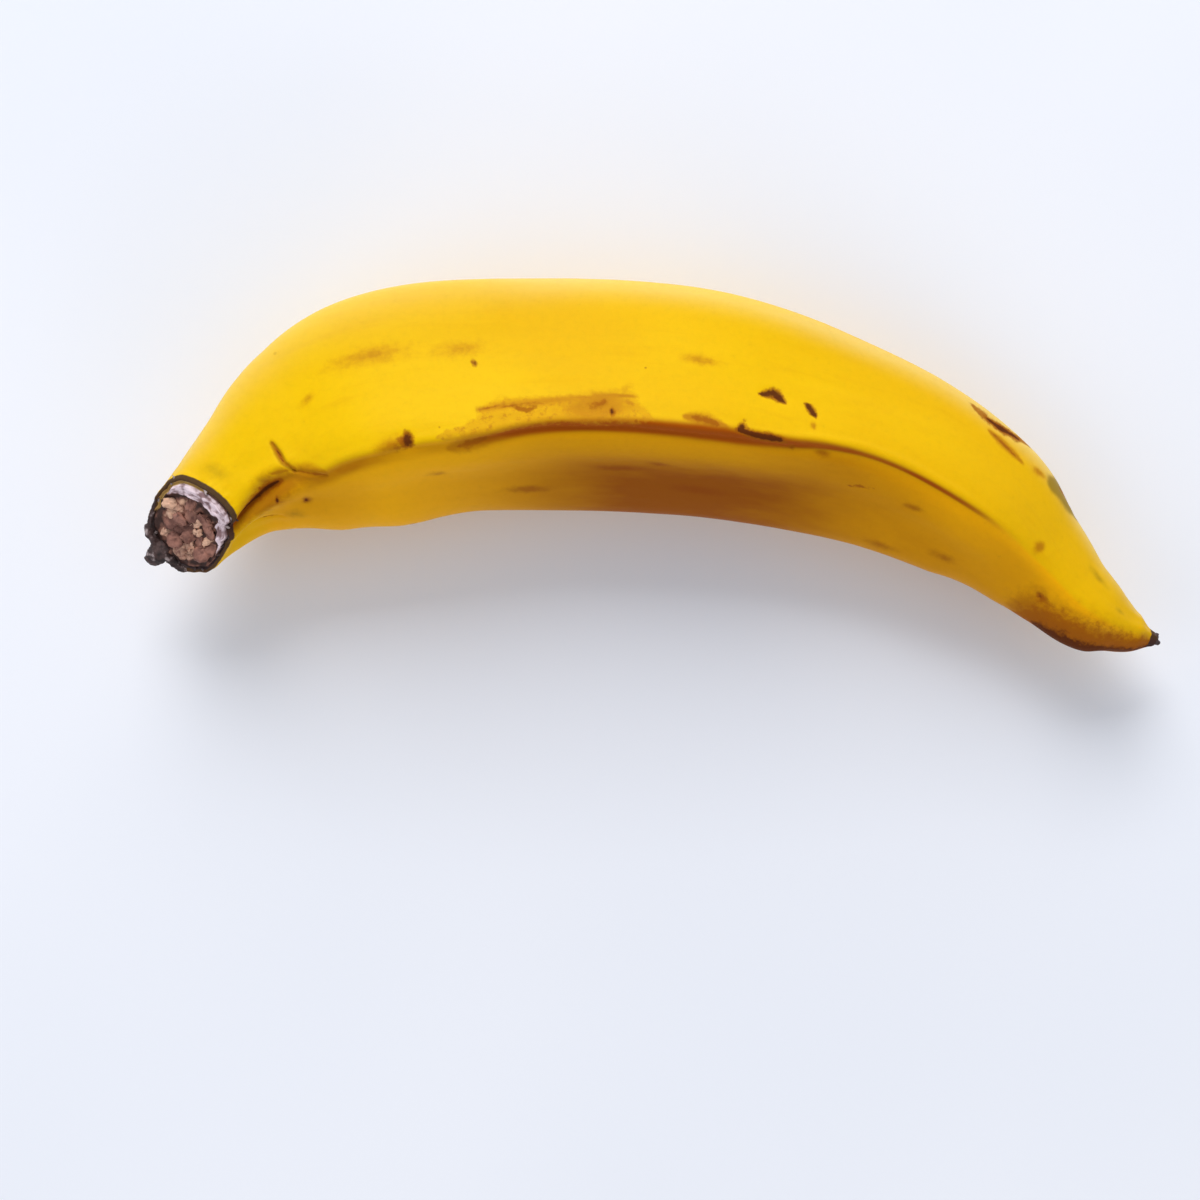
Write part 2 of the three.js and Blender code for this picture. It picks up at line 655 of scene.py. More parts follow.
class Nodes:
    """Adds nodes to one tree."""

    def __init__(self, tree: bpy.types.NodeTree) -> None:
        """Takes the tree that the nodes go in."""
        self.tree = tree

    def node(
        self,
        kind: str,
        settings: Mapping[str, object] | None = None,
        inputs: Mapping[Union[str, int], object] | None = None,
    ) -> bpy.types.Node:
        """Adds one node.

        Args:
            kind: The node's type.
            settings: Its properties, set first. The name "stops" gives a ramp's stops.
            inputs: A value or a link for each socket, by name or by number.

        Returns:
            The node.
        """
        made = self.tree.nodes.new(kind)
        for name, value in (settings or {}).items():
            if name == "stops":
                ramp = made.color_ramp
                while len(ramp.elements) > 1:
                    ramp.elements.remove(ramp.elements[-1])
                for k, (place, colour) in enumerate(value):
                    stop = ramp.elements[0] if k == 0 else ramp.elements.new(place)
                    stop.position, stop.color = place, colour
            else:
                setattr(made, name, value)
        for key, value in (inputs or {}).items():
            if isinstance(value, Value):
                self.tree.links.new(value.socket, made.inputs[key])
            else:
                made.inputs[key].default_value = value
        return made

    def value(
        self,
        kind: str,
        settings: Mapping[str, object] | None = None,
        inputs: Mapping[Union[str, int], object] | None = None,
        output: Union[str, int] = 0,
    ) -> Value:
        """Adds one node, as node does, and gives one of its outputs.

        Args:
            kind: The node's type.
            settings: Its properties.
            inputs: Its sockets' values or links.
            output: Which output.

        Returns:
            The output.
        """
        return Value(self, self.node(kind, settings, inputs).outputs[output])

    def blend(self, share: Number, first: Tint, second: Tint) -> Value:
        """Mixes two colours.

        Args:
            share: How much of the second, from 0 to 1.
            first: The colour at 0.
            second: The colour at 1.

        Returns:
            The mixed colour.
        """
        return self.value("ShaderNodeMix", {"data_type": "RGBA"}, {0: share, 6: first, 7: second}, 2)

    def field(self, name: str) -> Value:
        """One of the piece's own numbers."""
        return self.value("ShaderNodeAttribute", {"attribute_name": name}, None, "Fac")

    def unbent(self, stretch: float = 1.0) -> Value:
        """Places on the fruit as if it were straight.

        Args:
            stretch: How much shorter its length is made.

        Returns:
            The places.
        """
        place = self.value("ShaderNodeAttribute", {"attribute_name": "unbent"}, None, "Vector")
        size = (1.0 / stretch, 1.0, 1.0)
        return self.value("ShaderNodeVectorMath", {"operation": "MULTIPLY"}, {0: place, 1: size})

    def here(self) -> Value:
        """Places in the frame."""
        return self.value("ShaderNodeTexCoord", None, None, "Object")

    def noise(self, place: Value, size_mm: float, detail: float = 2.0, rough: float = 0.5) -> Value:
        """Soft noise from about 0.2 to 0.8.

        Args:
            place: Where to look it up.
            size_mm: The size of its features.
            detail: How many finer layers it has.
            rough: How strong those are.

        Returns:
            The noise.
        """
        inputs = {"Vector": place, "Scale": 1000.0 / size_mm, "Detail": detail, "Roughness": rough}
        return self.value("ShaderNodeTexNoise", None, inputs)

    def cells(self, place: Value, size_mm: float, output: str) -> Value:
        """Scattered cells.

        Args:
            place: Where to look them up.
            size_mm: How far apart they are.
            output: "Distance" from a cell's middle, in cells, or its random "Color".

        Returns:
            The output.
        """
        return self.value("ShaderNodeTexVoronoi", None, {"Vector": place, "Scale": 1000.0 / size_mm}, output)

    def bump(self, height: Value, depth_mm: float) -> Value:
        """Turns a height into shading.

        Args:
            height: The height, from 0 to 1.
            depth_mm: How deep that is.

        Returns:
            The bent normal.
        """
        inputs = {"Height": height, "Strength": 1.0, "Distance": depth_mm * MM}
        return self.value("ShaderNodeBump", None, inputs)


def new_material(name: str) -> tuple[bpy.types.Material, Nodes]:
    """An empty material.

    Args:
        name: Its name.

    Returns:
        The material, and a maker of nodes in it.
    """
    material = bpy.data.materials.new(name)
    material.use_nodes = True
    material.node_tree.nodes.clear()
    return material, Nodes(material.node_tree)


def finish_material(nodes: Nodes, inputs: Mapping[str, object]) -> None:
    """Adds the shader and the output.

    Args:
        nodes: The material's nodes.
        inputs: The shader's sockets.
    """
    shader = nodes.value("ShaderNodeBsdfPrincipled", None, inputs)
    nodes.node("ShaderNodeOutputMaterial", None, {"Surface": shader})


@dataclass(frozen=True)
class PeelFinish:
    """Ripe yellow peel, with its stains, and with painted shade, painted light and a painted sheen."""

    sunny: Colour = paint(236, 190, 3)
    golden: Colour = paint(228, 177, 3)
    deep: Colour = paint(210, 148, 4)
    # under: the lower face more orange, partly the peel's own warmer underside, partly painted warm bounce light
    under: Colour = paint(240, 170, 4)
    # painted_shade: painted shade of the lower face and of the neck's underside
    painted_shade: Colour = paint(138, 64, 3)
    # fold and ochre: the band under the side ridge and in the neck's deep fold, partly the peel's brown, partly painted
    # shade
    fold: Colour = paint(160, 72, 4)
    cork: Colour = paint(208, 146, 26)
    olive: Colour = paint(132, 104, 16)
    brown: Colour = paint(156, 86, 8)
    black: Colour = paint(84, 36, 10)
    ochre: Colour = paint(184, 122, 5)
    # painted_sheen: painted highlight, a pale band along the back ridge
    painted_sheen: Colour = paint(240, 214, 132)
    dry: Colour = paint(64, 44, 42)

    def build(self) -> bpy.types.Material:
        """Makes the material.

        Returns:
            The material.
        """
        material, n = new_material("ripe_peel")
        here, along, long_way = n.here(), n.unbent(1.0), n.unbent(9.0)
        broad = n.noise(along, 60, 2)
        mottle = n.noise(here, 13, 4, 0.55)
        streak = n.noise(long_way, 2.8, 3, 0.6)
        grain = n.noise(here, 0.9, 3, 0.6)
        ragged = n.noise(here, 1.7, 4, 0.66) - 0.5
        band = n.noise(n.unbent(4.0), 5.0, 3, 0.6)

        # golden also carries a painted pool of light: the upper face near the stem is kept less golden.
        colour = n.blend((broad + n.field("golden") * 0.5 - 0.25).rise(0.3, 0.7), self.sunny, self.golden)
        colour = n.blend(mottle.rise(0.45, 0.8) * 0.3, colour, self.golden)
        colour = n.blend(streak.rise(0.5, 0.85) * 0.2, colour, self.deep)
        # The lower face more orange: partly the peel's warmer underside, partly painted warm light bounced up from
        # below.
        colour = n.blend(n.field("under") * 0.85, colour, self.under)
        # Painted sheen: a pale band along the back ridge in place of its glossy highlight.
        painted_sheen = n.field("painted_sheen") * (0.54 + (broad - 0.5) * 0.6 + (streak - 0.5) * 0.25)
        colour = n.blend(painted_sheen, colour, self.painted_sheen)

        olive = (n.field("olive") + ragged * 0.5).rise(-0.2, 0.9)
        colour = n.blend(olive * 0.8, colour, self.olive)
        smudge = (n.field("smudge") + ragged * 0.7 + (band - 0.5) * 0.6).rise(-0.25, 0.85)
        colour = n.blend(smudge * 0.8, colour, self.deep)
        colour = n.blend(smudge * smudge * 0.55, colour, self.brown)
        # Painted shade on the lower face and under the neck.
        painted_shade = n.field("painted_shade") * (0.88 + (band - 0.5) * 0.4)
        colour = n.blend(painted_shade.least(0.92), colour, self.painted_shade)
        # The band under the side ridge and the neck's deep fold: partly the peel's own brown, partly painted shade in
        # the groove, with ochre as its paler painted shade.
        fold = n.field("fold") * (1.0 + (band - 0.5) * 0.7)
        colour = n.blend(fold.rise(0.0, 0.7) * 0.8, colour, self.ochre)
        colour = n.blend(fold.rise(0.4, 1.0) * 0.95, colour, self.fold)
        cork = (n.field("cork") + ragged * 2.4 + (mottle - 0.5) * 1.6).rise(-0.35, 0.75)
        fleck = n.noise(along, 1.6, 4, 0.65).rise(0.48, 0.7)
        colour = n.blend(cork * (0.55 + fleck * 0.35), colour, self.cork)
        colour = n.blend(cork * fleck * 0.3, colour, self.brown)
        torn = ragged * 1.5 + (mottle - 0.5) * 0.8
        brown = (n.field("brown") + torn).rise(-0.1, 0.6)
        colour = n.blend(brown * 0.85, colour, self.brown)

        dot = n.cells(here, 6.5, "Distance")
        rare = n.cells(here, 6.5, "Color").rise(0.8, 0.84)
        speck = (0.08 - dot + ragged * 0.05).rise(0.0, 0.04) * rare
        colour = n.blend(speck * 0.7, colour, self.brown)
        stain = n.field("black") + torn * 0.8
        colour = n.blend(stain.rise(-0.5, 0.2) * 0.8, colour, self.brown)
        black = stain.rise(0.05, 0.5)
        colour = n.blend(black * 0.92, colour, self.black)
        dry = (n.field("dry") + ragged * 0.6).rise(0.1, 0.5)
        colour = n.blend(dry * 0.95, colour, self.dry)

        scar = cork.most(brown).most(black).most(dry)
        roughness = (0.42 + streak * 0.1 + scar * 0.2).least(1.0)
        height = streak * 0.22 + mottle * 0.3 + grain * 0.12 + ragged * scar * 0.8
        finish_material(
            n,
            {
                "Base Color": colour,
                "Roughness": roughness,
                "IOR": 1.45,
                "Specular IOR Level": 0.06,
                "Sheen Weight": 0.07,
                "Sheen Roughness": 0.36,
                "Sheen Tint": paint(255, 246, 214),
                "Subsurface Weight": 0.06,
                "Subsurface Radius": (1.0, 0.45, 0.08),
                "Subsurface Scale": 0.003,
                "Normal": n.bump(height, 0.2),
            },
        )
        return material


@dataclass(frozen=True)
class CutFinish:
    """The stem's dried cut: a pale fibrous ring round a brown core."""

    pit: Colour = paint(66, 40, 34)
    core: Colour = paint(138, 92, 76)
    crest: Colour = paint(226, 178, 148)
    ring: Colour = paint(236, 214, 222)
    ring_low: Colour = paint(140, 108, 110)
    tan: Colour = paint(196, 158, 88)
    rim: Colour = paint(60, 40, 40)

    def build(self) -> bpy.types.Material:
        """Makes the material.

        Returns:
            The material.
        """
        material, n = new_material("dried_cut")
        here = n.here()
        fine = n.noise(here, 0.8, 4, 0.65)
        blotch = n.noise(here, 2.4, 3, 0.6)
        grain = n.value("ShaderNodeAttribute", {"attribute_name": "grain"}, None, "Vector")
        strand = n.noise(grain, 0.75, 3, 0.6)
        raised = n.field("raised")
        colour = n.blend((raised + (fine - 0.5) * 0.5).rise(0.15, 0.5), self.pit, self.core)
        colour = n.blend((raised + (blotch - 0.5) * 0.7).rise(0.55, 0.85), colour, self.crest)
        tan = (n.field("tan") + (blotch - 0.5) * 1.1).rise(0.35, 0.7)
        colour = n.blend(tan, colour, self.tan)
        fibre = (raised + (strand - 0.5) * 1.2 + (blotch - 0.5) * 0.6).rise(0.12, 0.58)
        pale = n.blend(fibre, self.ring_low, self.ring)
        colour = n.blend((n.field("ring") + (fine - 0.5) * 0.5).rise(0.3, 0.6), colour, pale)
        edge = (n.field("edge") + (blotch - 0.5) * 0.7).rise(0.35, 0.7)
        colour = n.blend(edge, colour, self.rim)
        finish_material(
            n,
            {
                "Base Color": colour,
                "Roughness": (0.42 + fine * 0.35).least(1.0),
                "IOR": 1.45,
                "Specular IOR Level": 0.5,
                "Normal": n.bump(fine * 0.5 + blotch * 0.3 + strand * 0.5, 0.4),
            },
        )
        return material


@dataclass(frozen=True)
class HuskFinish:
    """Dried plant matter, dark, with paler crests that are partly its own pale bits and partly painted glints."""

    name: str
    dark: Colour
    mid: Colour
    pale_and_glint: Colour
    size_mm: float = 1.2
    pale_from: float = 0.5

    def build(self) -> bpy.types.Material:
        """Makes the material.

        Returns:
            The material.
        """
        material, n = new_material(self.name)
        here = n.here()
        coarse = n.noise(here, self.size_mm * 2, 3, 0.6)
        fine = n.noise(here, self.size_mm * 0.6, 4, 0.65)
        tone = n.field("tone")
        colour = n.blend(coarse.rise(0.35, 0.65), self.dark, self.mid)
        # Paler where tone is high: partly the dried matter's own pale bits, partly painted glints.
        colour = n.blend((tone + (fine - 0.5) * 0.9).rise(self.pale_from, self.pale_from + 0.45), colour, self.pale_and_glint)
        finish_material(
            n,
            {
                "Base Color": colour,
                "Roughness": (0.45 + fine * 0.4).least(1.0),
                "IOR": 1.45,
                "Specular IOR Level": 0.5,
                "Normal": n.bump(fine, 0.25),
            },
        )
        return material


PITH_FINISH = HuskFinish(
    "dried_pith",
    dark=paint(112, 72, 62),
    mid=paint(170, 118, 102),
    pale_and_glint=paint(228, 182, 154),
    size_mm=1.8,
    pale_from=0.4,
)
HUSK_FINISH = HuskFinish("dried_husk", dark=paint(38, 26, 26), mid=paint(80, 58, 56), pale_and_glint=paint(176, 160, 160))


@dataclass(frozen=True)
class FloorFinish:
    """Matt white board with a breath of blue."""

    white: Colour = paint(239, 242, 251)
    shade: Colour = paint(234, 238, 248)

    def build(self) -> bpy.types.Material:
        """Makes the material.

        Returns:
            The material.
        """
        material, n = new_material("white_board")
        cloud = n.noise(n.here(), 220, 2)
        grain = n.noise(n.here(), 1.5, 2)
        finish_material(
            n,
            {
                "Base Color": n.blend(cloud.rise(0.3, 0.7), self.white, self.shade),
                "Roughness": 0.55 + grain * 0.15,
                "Specular IOR Level": 0.25,
            },
        )
        return material


# ---------------------------------------------------------------------------------------------------------
# The peel
# ---------------------------------------------------------------------------------------------------------


@dataclass(frozen=True)
class Mark:
    """A stain on the peel, or painted shade in a fold or under the tip: a line with a width, or, if its path has a
    single point, an ellipse.

    Each point of the path is a place along the fruit in millimetres and round it in degrees. long_mm is only used
    by an ellipse. wide_mm is the full width, lean_deg turns an ellipse, strength scales the stain, dent_mm is how
    deep it is sunk, and a line thins by taper towards its ends.
    """

    tone: Tone
    path: tuple[tuple[float, float], ...]
    wide_mm: float
    long_mm: float = 0.0
    lean_deg: float = 0.0
    strength: float = 1.0
    dent_mm: float = 0.05
    taper: float = 0.6


def blot(
    tone: Tone,
    at: tuple[float, float],
    size: tuple[float, float],
    lean: float = 0.0,
    strength: float = 1.0,
    dent: float = 0.05,
) -> Mark:
    """An ellipse.

    Args:
        tone: Its stain.
        at: Its middle, along the fruit and round it.
        size: Its full length and width in millimetres.
        lean: How far it is turned, in degrees.
        strength: How strong it is.
        dent: How deep it is sunk, in millimetres.

    Returns:
        The mark.
    """
    return Mark(tone, (at,), size[1], size[0], lean, strength, dent)


MARKS = (
    # The upper face.
    Mark(Tone.BLACK, ((143.6, 76.6), (146.6, 73.6), (149.4, 78)), 2.9, strength=0.95, dent_mm=0.18, taper=0.6),
    blot(Tone.BROWN, (147, 75.6), (6.2, 3.8), -25, 0.75, 0.1),
    Mark(Tone.BLACK, ((154.3, 75.2), (156, 79), (157.3, 82.3)), 2.1, strength=0.85, dent_mm=0.12),
    blot(Tone.SMUDGE, (157, 87.5), (2.6, 2.0), -60, 1.0),
    blot(Tone.BLACK, (78.8, 69.5), (1.6, 2.6), 20, 0.75, 0.1),
    blot(Tone.SMUDGE, (56, 58), (30, 10), 0, 0.62, 0),
    blot(Tone.SMUDGE, (76, 60), (26, 9), 4, 0.5, 0),
    blot(Tone.SMUDGE, (114, 84), (8, 4), 30, 0.55, 0),
    blot(Tone.SMUDGE, (130, 62), (14, 5), 0, 0.7, 0),
    blot(Tone.SMUDGE, (40, 70), (10, 5), 12, 0.6, 0),
    # The side ridge.
    blot(Tone.BLACK, (61.6, 106.6), (3.4, 3.0), 15, 0.9, 0.2),
    blot(Tone.BROWN, (60.4, 107.2), (7.6, 4.4), 12, 0.8, 0.1),
    blot(Tone.SMUDGE, (56.5, 108.6), (13, 4.2), 12, 1.0, 0.1),
    Mark(Tone.BROWN, ((74.5, 112), (78.1, 110.3), (81.5, 108)), 2.8, strength=0.75, dent_mm=0.12),
    Mark(Tone.SMUDGE, ((72, 112.5), (78.1, 110), (84, 107)), 5.0, strength=1.0, dent_mm=0),
    Mark(Tone.BROWN, ((78.4, 99), (80.5, 94.8), (87, 94), (97, 92.3)), 1.5, strength=0.42, dent_mm=0.08, taper=0.2),
    Mark(Tone.SMUDGE, ((79.5, 95.5), (88, 93.6), (102, 90.8), (108, 89.3), (116, 88)), 2.6, strength=0.9, taper=0.3),
    Mark(Tone.BROWN, ((88.2, 94.8), (91, 96.2), (93, 94.8)), 1.4, strength=0.8, dent_mm=0.1, taper=0.2),
    blot(Tone.SMUDGE, (107.4, 93.4), (14, 5), 6, 1.4, 0),
    blot(Tone.BROWN, (107.8, 92.8), (9, 3.8), 10, 0.75, 0.08),
    blot(Tone.BLACK, (111, 96), (1.5, 2.1), 0, 0.85, 0.15),
    Mark(Tone.SMUDGE, ((127.5, 95.5), (132.6, 96.2), (137, 97.6)), 3.4, strength=1.1, dent_mm=0),
    Mark(Tone.BROWN, ((129.6, 95.3), (132.6, 96.0), (135.2, 97.2)), 2.4, strength=0.8, dent_mm=0.1, taper=0.5),
    Mark(
        Tone.BLACK,
        ((140.1, 97.3), (143.1, 98), (146.2, 98), (150.2, 97.6)),
        1.6,
        strength=0.95,
        dent_mm=0.2,
        taper=0.2,
    ),
    Mark(Tone.BROWN, ((139, 97.4), (145, 98.2), (152, 98.2)), 3.4, strength=0.7, dent_mm=0),
    blot(Tone.BLACK, (140.7, 96.0), (2.4, 2.2), 0, 0.9, 0.1),
    blot(Tone.BROWN, (141, 92.8), (1.7, 1.6), 0, 0.9, 0.1),
    blot(Tone.BROWN, (153.4, 100.2), (2.4, 1.6), 0, 0.9),
    blot(Tone.SMUDGE, (161.2, 99.5), (5, 2), 0, 1.0),
    blot(Tone.SMUDGE, (220.7, 81.5), (4.0, 4.2), 0, 1.0, 0),
    # The neck.
    Mark(Tone.OLIVE, ((24.6, 84), (24.1, 93.5), (23.5, 102), (24.4, 110)), 1.8, strength=1.4, dent_mm=0.45, taper=0.5),
    Mark(Tone.BROWN, ((24.6, 85), (24.1, 93.5), (23.5, 102), (24.6, 110)), 1.2, strength=0.45, dent_mm=0.2, taper=0.4),
    Mark(Tone.BLACK, ((24.5, 87), (24.1, 93.5), (23.6, 101)), 1.1, strength=0.55, dent_mm=0.1, taper=0.7),
    Mark(Tone.SMUDGE, ((24.6, 83), (24.1, 93.5), (23.5, 102), (26, 111)), 2.6, strength=0.9, dent_mm=0.1, taper=0.4),
    Mark(Tone.BROWN, ((24.2, 109), (28.2, 114), (33.9, 116.8)), 1.3, strength=0.5, dent_mm=0.3),
    Mark(Tone.SMUDGE, ((23, 108), (20, 106.6), (17.6, 105.3)), 1.8, strength=1.0, dent_mm=0.2),
    # The next three follow the neck's deep fold: its olive-brown, darkened with painted shade in the fold.
    Mark(Tone.BLACK, ((-2, 139), (2.1, 130.5), (4.4, 126.2), (10, 119.3), (17.5, 114)), 2.2, strength=0.72, taper=0.6),
    Mark(Tone.BROWN, ((-2, 139), (2.1, 130.5), (4.4, 126.2), (10, 119.3), (19, 113.6)), 4.2, strength=0.75, dent_mm=0),
    Mark(Tone.SMUDGE, ((-2, 144), (4, 132), (12, 123), (22, 114)), 8.0, strength=1.1, dent_mm=0, taper=0.4),
    Mark(Tone.SMUDGE, ((20, 114), (27, 114), (34, 115)), 4.6, strength=1.1, dent_mm=0),
    blot(Tone.BLACK, (24.1, 136.5), (1.8, 1.9), 30, 0.8, 0.15),
    blot(Tone.SMUDGE, (24.5, 135.5), (4.5, 3.6), 0, 0.9),
    blot(Tone.BLACK, (14.6, 129.5), (1.9, 1.8), 0, 0.8, 0.15),
    blot(Tone.SMUDGE, (16, 131.5), (7.0, 2.4), 0, 0.8),
    Mark(Tone.BROWN, ((0, 161), (3, 155), (9, 156.4), (17, 157)), 1.4, strength=0.6, dent_mm=0.2),
    blot(Tone.OLIVE, (5, 70), (14, 24), 0, 0.35, 0),
    blot(Tone.OLIVE, (20, 152), (16, 9), 0, 0.45, 0),
    blot(Tone.OLIVE, (13, 110), (10, 6), -20, 0.6, 0),
    # The back of the bow, towards the tip.
    Mark(Tone.BROWN, ((191.2, 17.6), (195.4, 20), (199, 19.2), (202, 16.6), (206, 10)), 3.4, strength=1.0, dent_mm=0.1),
    Mark(Tone.BLACK, ((194.8, 20), (199.5, 18.8), (203.5, 14.6)), 2.0, strength=0.85, dent_mm=0.15, taper=0.5),
    Mark(Tone.BROWN, ((197.6, 29), (201, 30.3), (204.7, 33)), 1.5, strength=0.75, dent_mm=0.05),
    Mark(Tone.SMUDGE, ((197, 28.5), (201, 30.5), (206, 33)), 3.4, strength=1.0, dent_mm=0),
    blot(Tone.SMUDGE, (209.5, 27), (5, 3), 20, 0.9, 0),
    Mark(Tone.OLIVE, ((213.6, 21.5), (215.8, 14.5), (222, 9)), 4.4, strength=1.9, dent_mm=0.05, taper=0.4),
    Mark(Tone.BROWN, ((214.5, 15), (217, 11), (220, 8)), 2.2, strength=0.75, dent_mm=0.1),
    # The face under the side ridge.
    blot(Tone.SMUDGE, (68, 129), (9, 3.4), 0, 0.7),
    blot(Tone.SMUDGE, (91, 150), (16, 4), 0, 0.9, 0),
    blot(Tone.SMUDGE, (114, 130), (18, 3), 0, 0.9, 0),
    blot(Tone.SMUDGE, (134, 143), (20, 4), 0, 1.0, 0),
    blot(Tone.SMUDGE, (123, 124), (9, 2.4), 0, 0.9, 0),
    Mark(Tone.BROWN, ((170.5, 114.5), (174, 112), (178, 110.5)), 1.4, strength=0.75, dent_mm=0.05),
    blot(Tone.SMUDGE, (187, 157), (14, 3.6), 0, 0.9, 0),
    blot(Tone.SMUDGE, (204, 144), (12, 4), 0, 0.9, 0),
    blot(Tone.SMUDGE, (190, 112), (8, 2.4), 10, 0.9, 0),
    blot(Tone.BROWN, (231.8, 117.8), (6.5, 3.4), -12, 0.75, 0.1),
    blot(Tone.BLACK, (230.8, 118.6), (3.6, 2.0), -12, 0.5, 0.1),
    blot(Tone.SMUDGE, (231, 117), (12, 6.0), -12, 0.8, 0),
    # The tip.
    blot(Tone.OLIVE, (237, 40), (16, 5), 0, 0.5, 0),
    blot(Tone.OLIVE, (246, 62), (10, 4), 0, 0.35, 0),
    # The tip's underside: partly its browning, partly painted shade.
    Mark(Tone.SMUDGE, ((233, 150), (243, 144), (250, 136), (257, 118)), 15, strength=1.5, dent_mm=0, taper=0.2),
    Mark(Tone.BROWN, ((236, 160), (243, 152), (250, 144), (257, 126)), 13, strength=1.45, dent_mm=0.1, taper=0.2),
    Mark(Tone.BLACK, ((238, 172), (245, 165), (251, 160), (258, 150)), 14.5, strength=0.9, dent_mm=0.1, taper=0.2),
    # The side that lies away from the light, and the table's side.
    Mark(Tone.BROWN, ((90, 213), (96, 212), (103, 211)), 2.2, strength=0.9, dent_mm=0.1),
    Mark(Tone.BLACK, ((99, 211.5), (101, 211), (104, 211)), 1.5, strength=0.9, dent_mm=0.15),
    blot(Tone.BLACK, (162, 196), (3.2, 2.2), 30, 0.8, 0.1),
    blot(Tone.BROWN, (58, 178), (5.0, 3.0), 0, 0.8, 0.05),
    Mark(Tone.BROWN, ((124, 331), (132, 330), (141, 329)), 2.0, strength=0.9, dent_mm=0.1),
    Mark(Tone.BLACK, ((134, 330), (138, 329.5), (141, 329)), 1.4, strength=0.9, dent_mm=0.15),
    blot(Tone.BLACK, (88, 345), (2.2, 3.2), 12, 0.75, 0.1),
    blot(Tone.BROWN, (181, 318), (7.0, 2.6), 0, 0.8, 0.05),
    blot(Tone.SMUDGE, (70, 12), (24, 7), 0, 0.6, 0),
    blot(Tone.SMUDGE, (150, 340), (30, 6), 0, 0.8, 0),
    blot(Tone.OLIVE, (14, 300), (18, 24), 0, 0.35, 0),
    blot(Tone.OLIVE, (240, 250), (20, 10), 0, 0.45, 0),
)

# The corky patch over the side ridge: its width in millimetres.
CORK_WIDE: Profile = (
    (66, 0.1),
    (70, 2),
    (77, 3.8),
    (81, 7),
    (91, 7.2),
    (102, 7),
    (115, 6.5),
    (119, 4.5),
    (123, 0.1),
)

# The band below the side ridge, partly the peel's brown and partly painted shade in the groove under the lip: its half
# width and place in millimetres, and how dark it is.
FOLD_WIDE: Profile = ((24, 2.2), (80, 2.2), (100, 2.0), (150, 2.0), (165, 1.1), (206, 0.8))
FOLD_AT: Profile = ((24, 1.8), (80, 1.8), (95, 1.2), (160, 0.8), (206, 0.5))
FOLD_DARK: Profile = ((18, 0), (28, 0.45), (74, 0.5), (90, 1), (152, 1), (168, 0.8), (203, 0.75), (214, 0))

# Painted shade on the lower face, where the fruit lay against the one below: how strong it is close under the ridge,
# and further down.
SHADE_HIGH: Profile = (
    (40, 0),
    (70, 0.05),
    (98, 0.28),
    (133, 0.33),
    (170, 0.55),
    (186, 0.42),
    (202, 0.22),
    (224, 0.3),
    (244, 0),
)
SHADE_LOW: Profile = (
    (30, 0),
    (60, 0.08),
    (84, 0.42),
    (106, 0.88),
    (132, 1.12),
    (155, 0.95),
    (176, 0.6),
    (200, 0.5),
    (225, 0.4),
    (246, 0),
)

# The painted sheen along the back ridge, a pale band that stands in for the glossy highlight there: its middle and its
# reach, in degrees round the fruit.
SHEEN_AT: Profile = ((0, 26), (45, 16), (68, 14), (98, 18), (165, 17), (200, 12), (258, 14))
SHEEN_WIDE: Profile = ((0, 15), (45, 18), (68, 16), (98, 9.5), (165, 8.0), (205, 11), (258, 15))


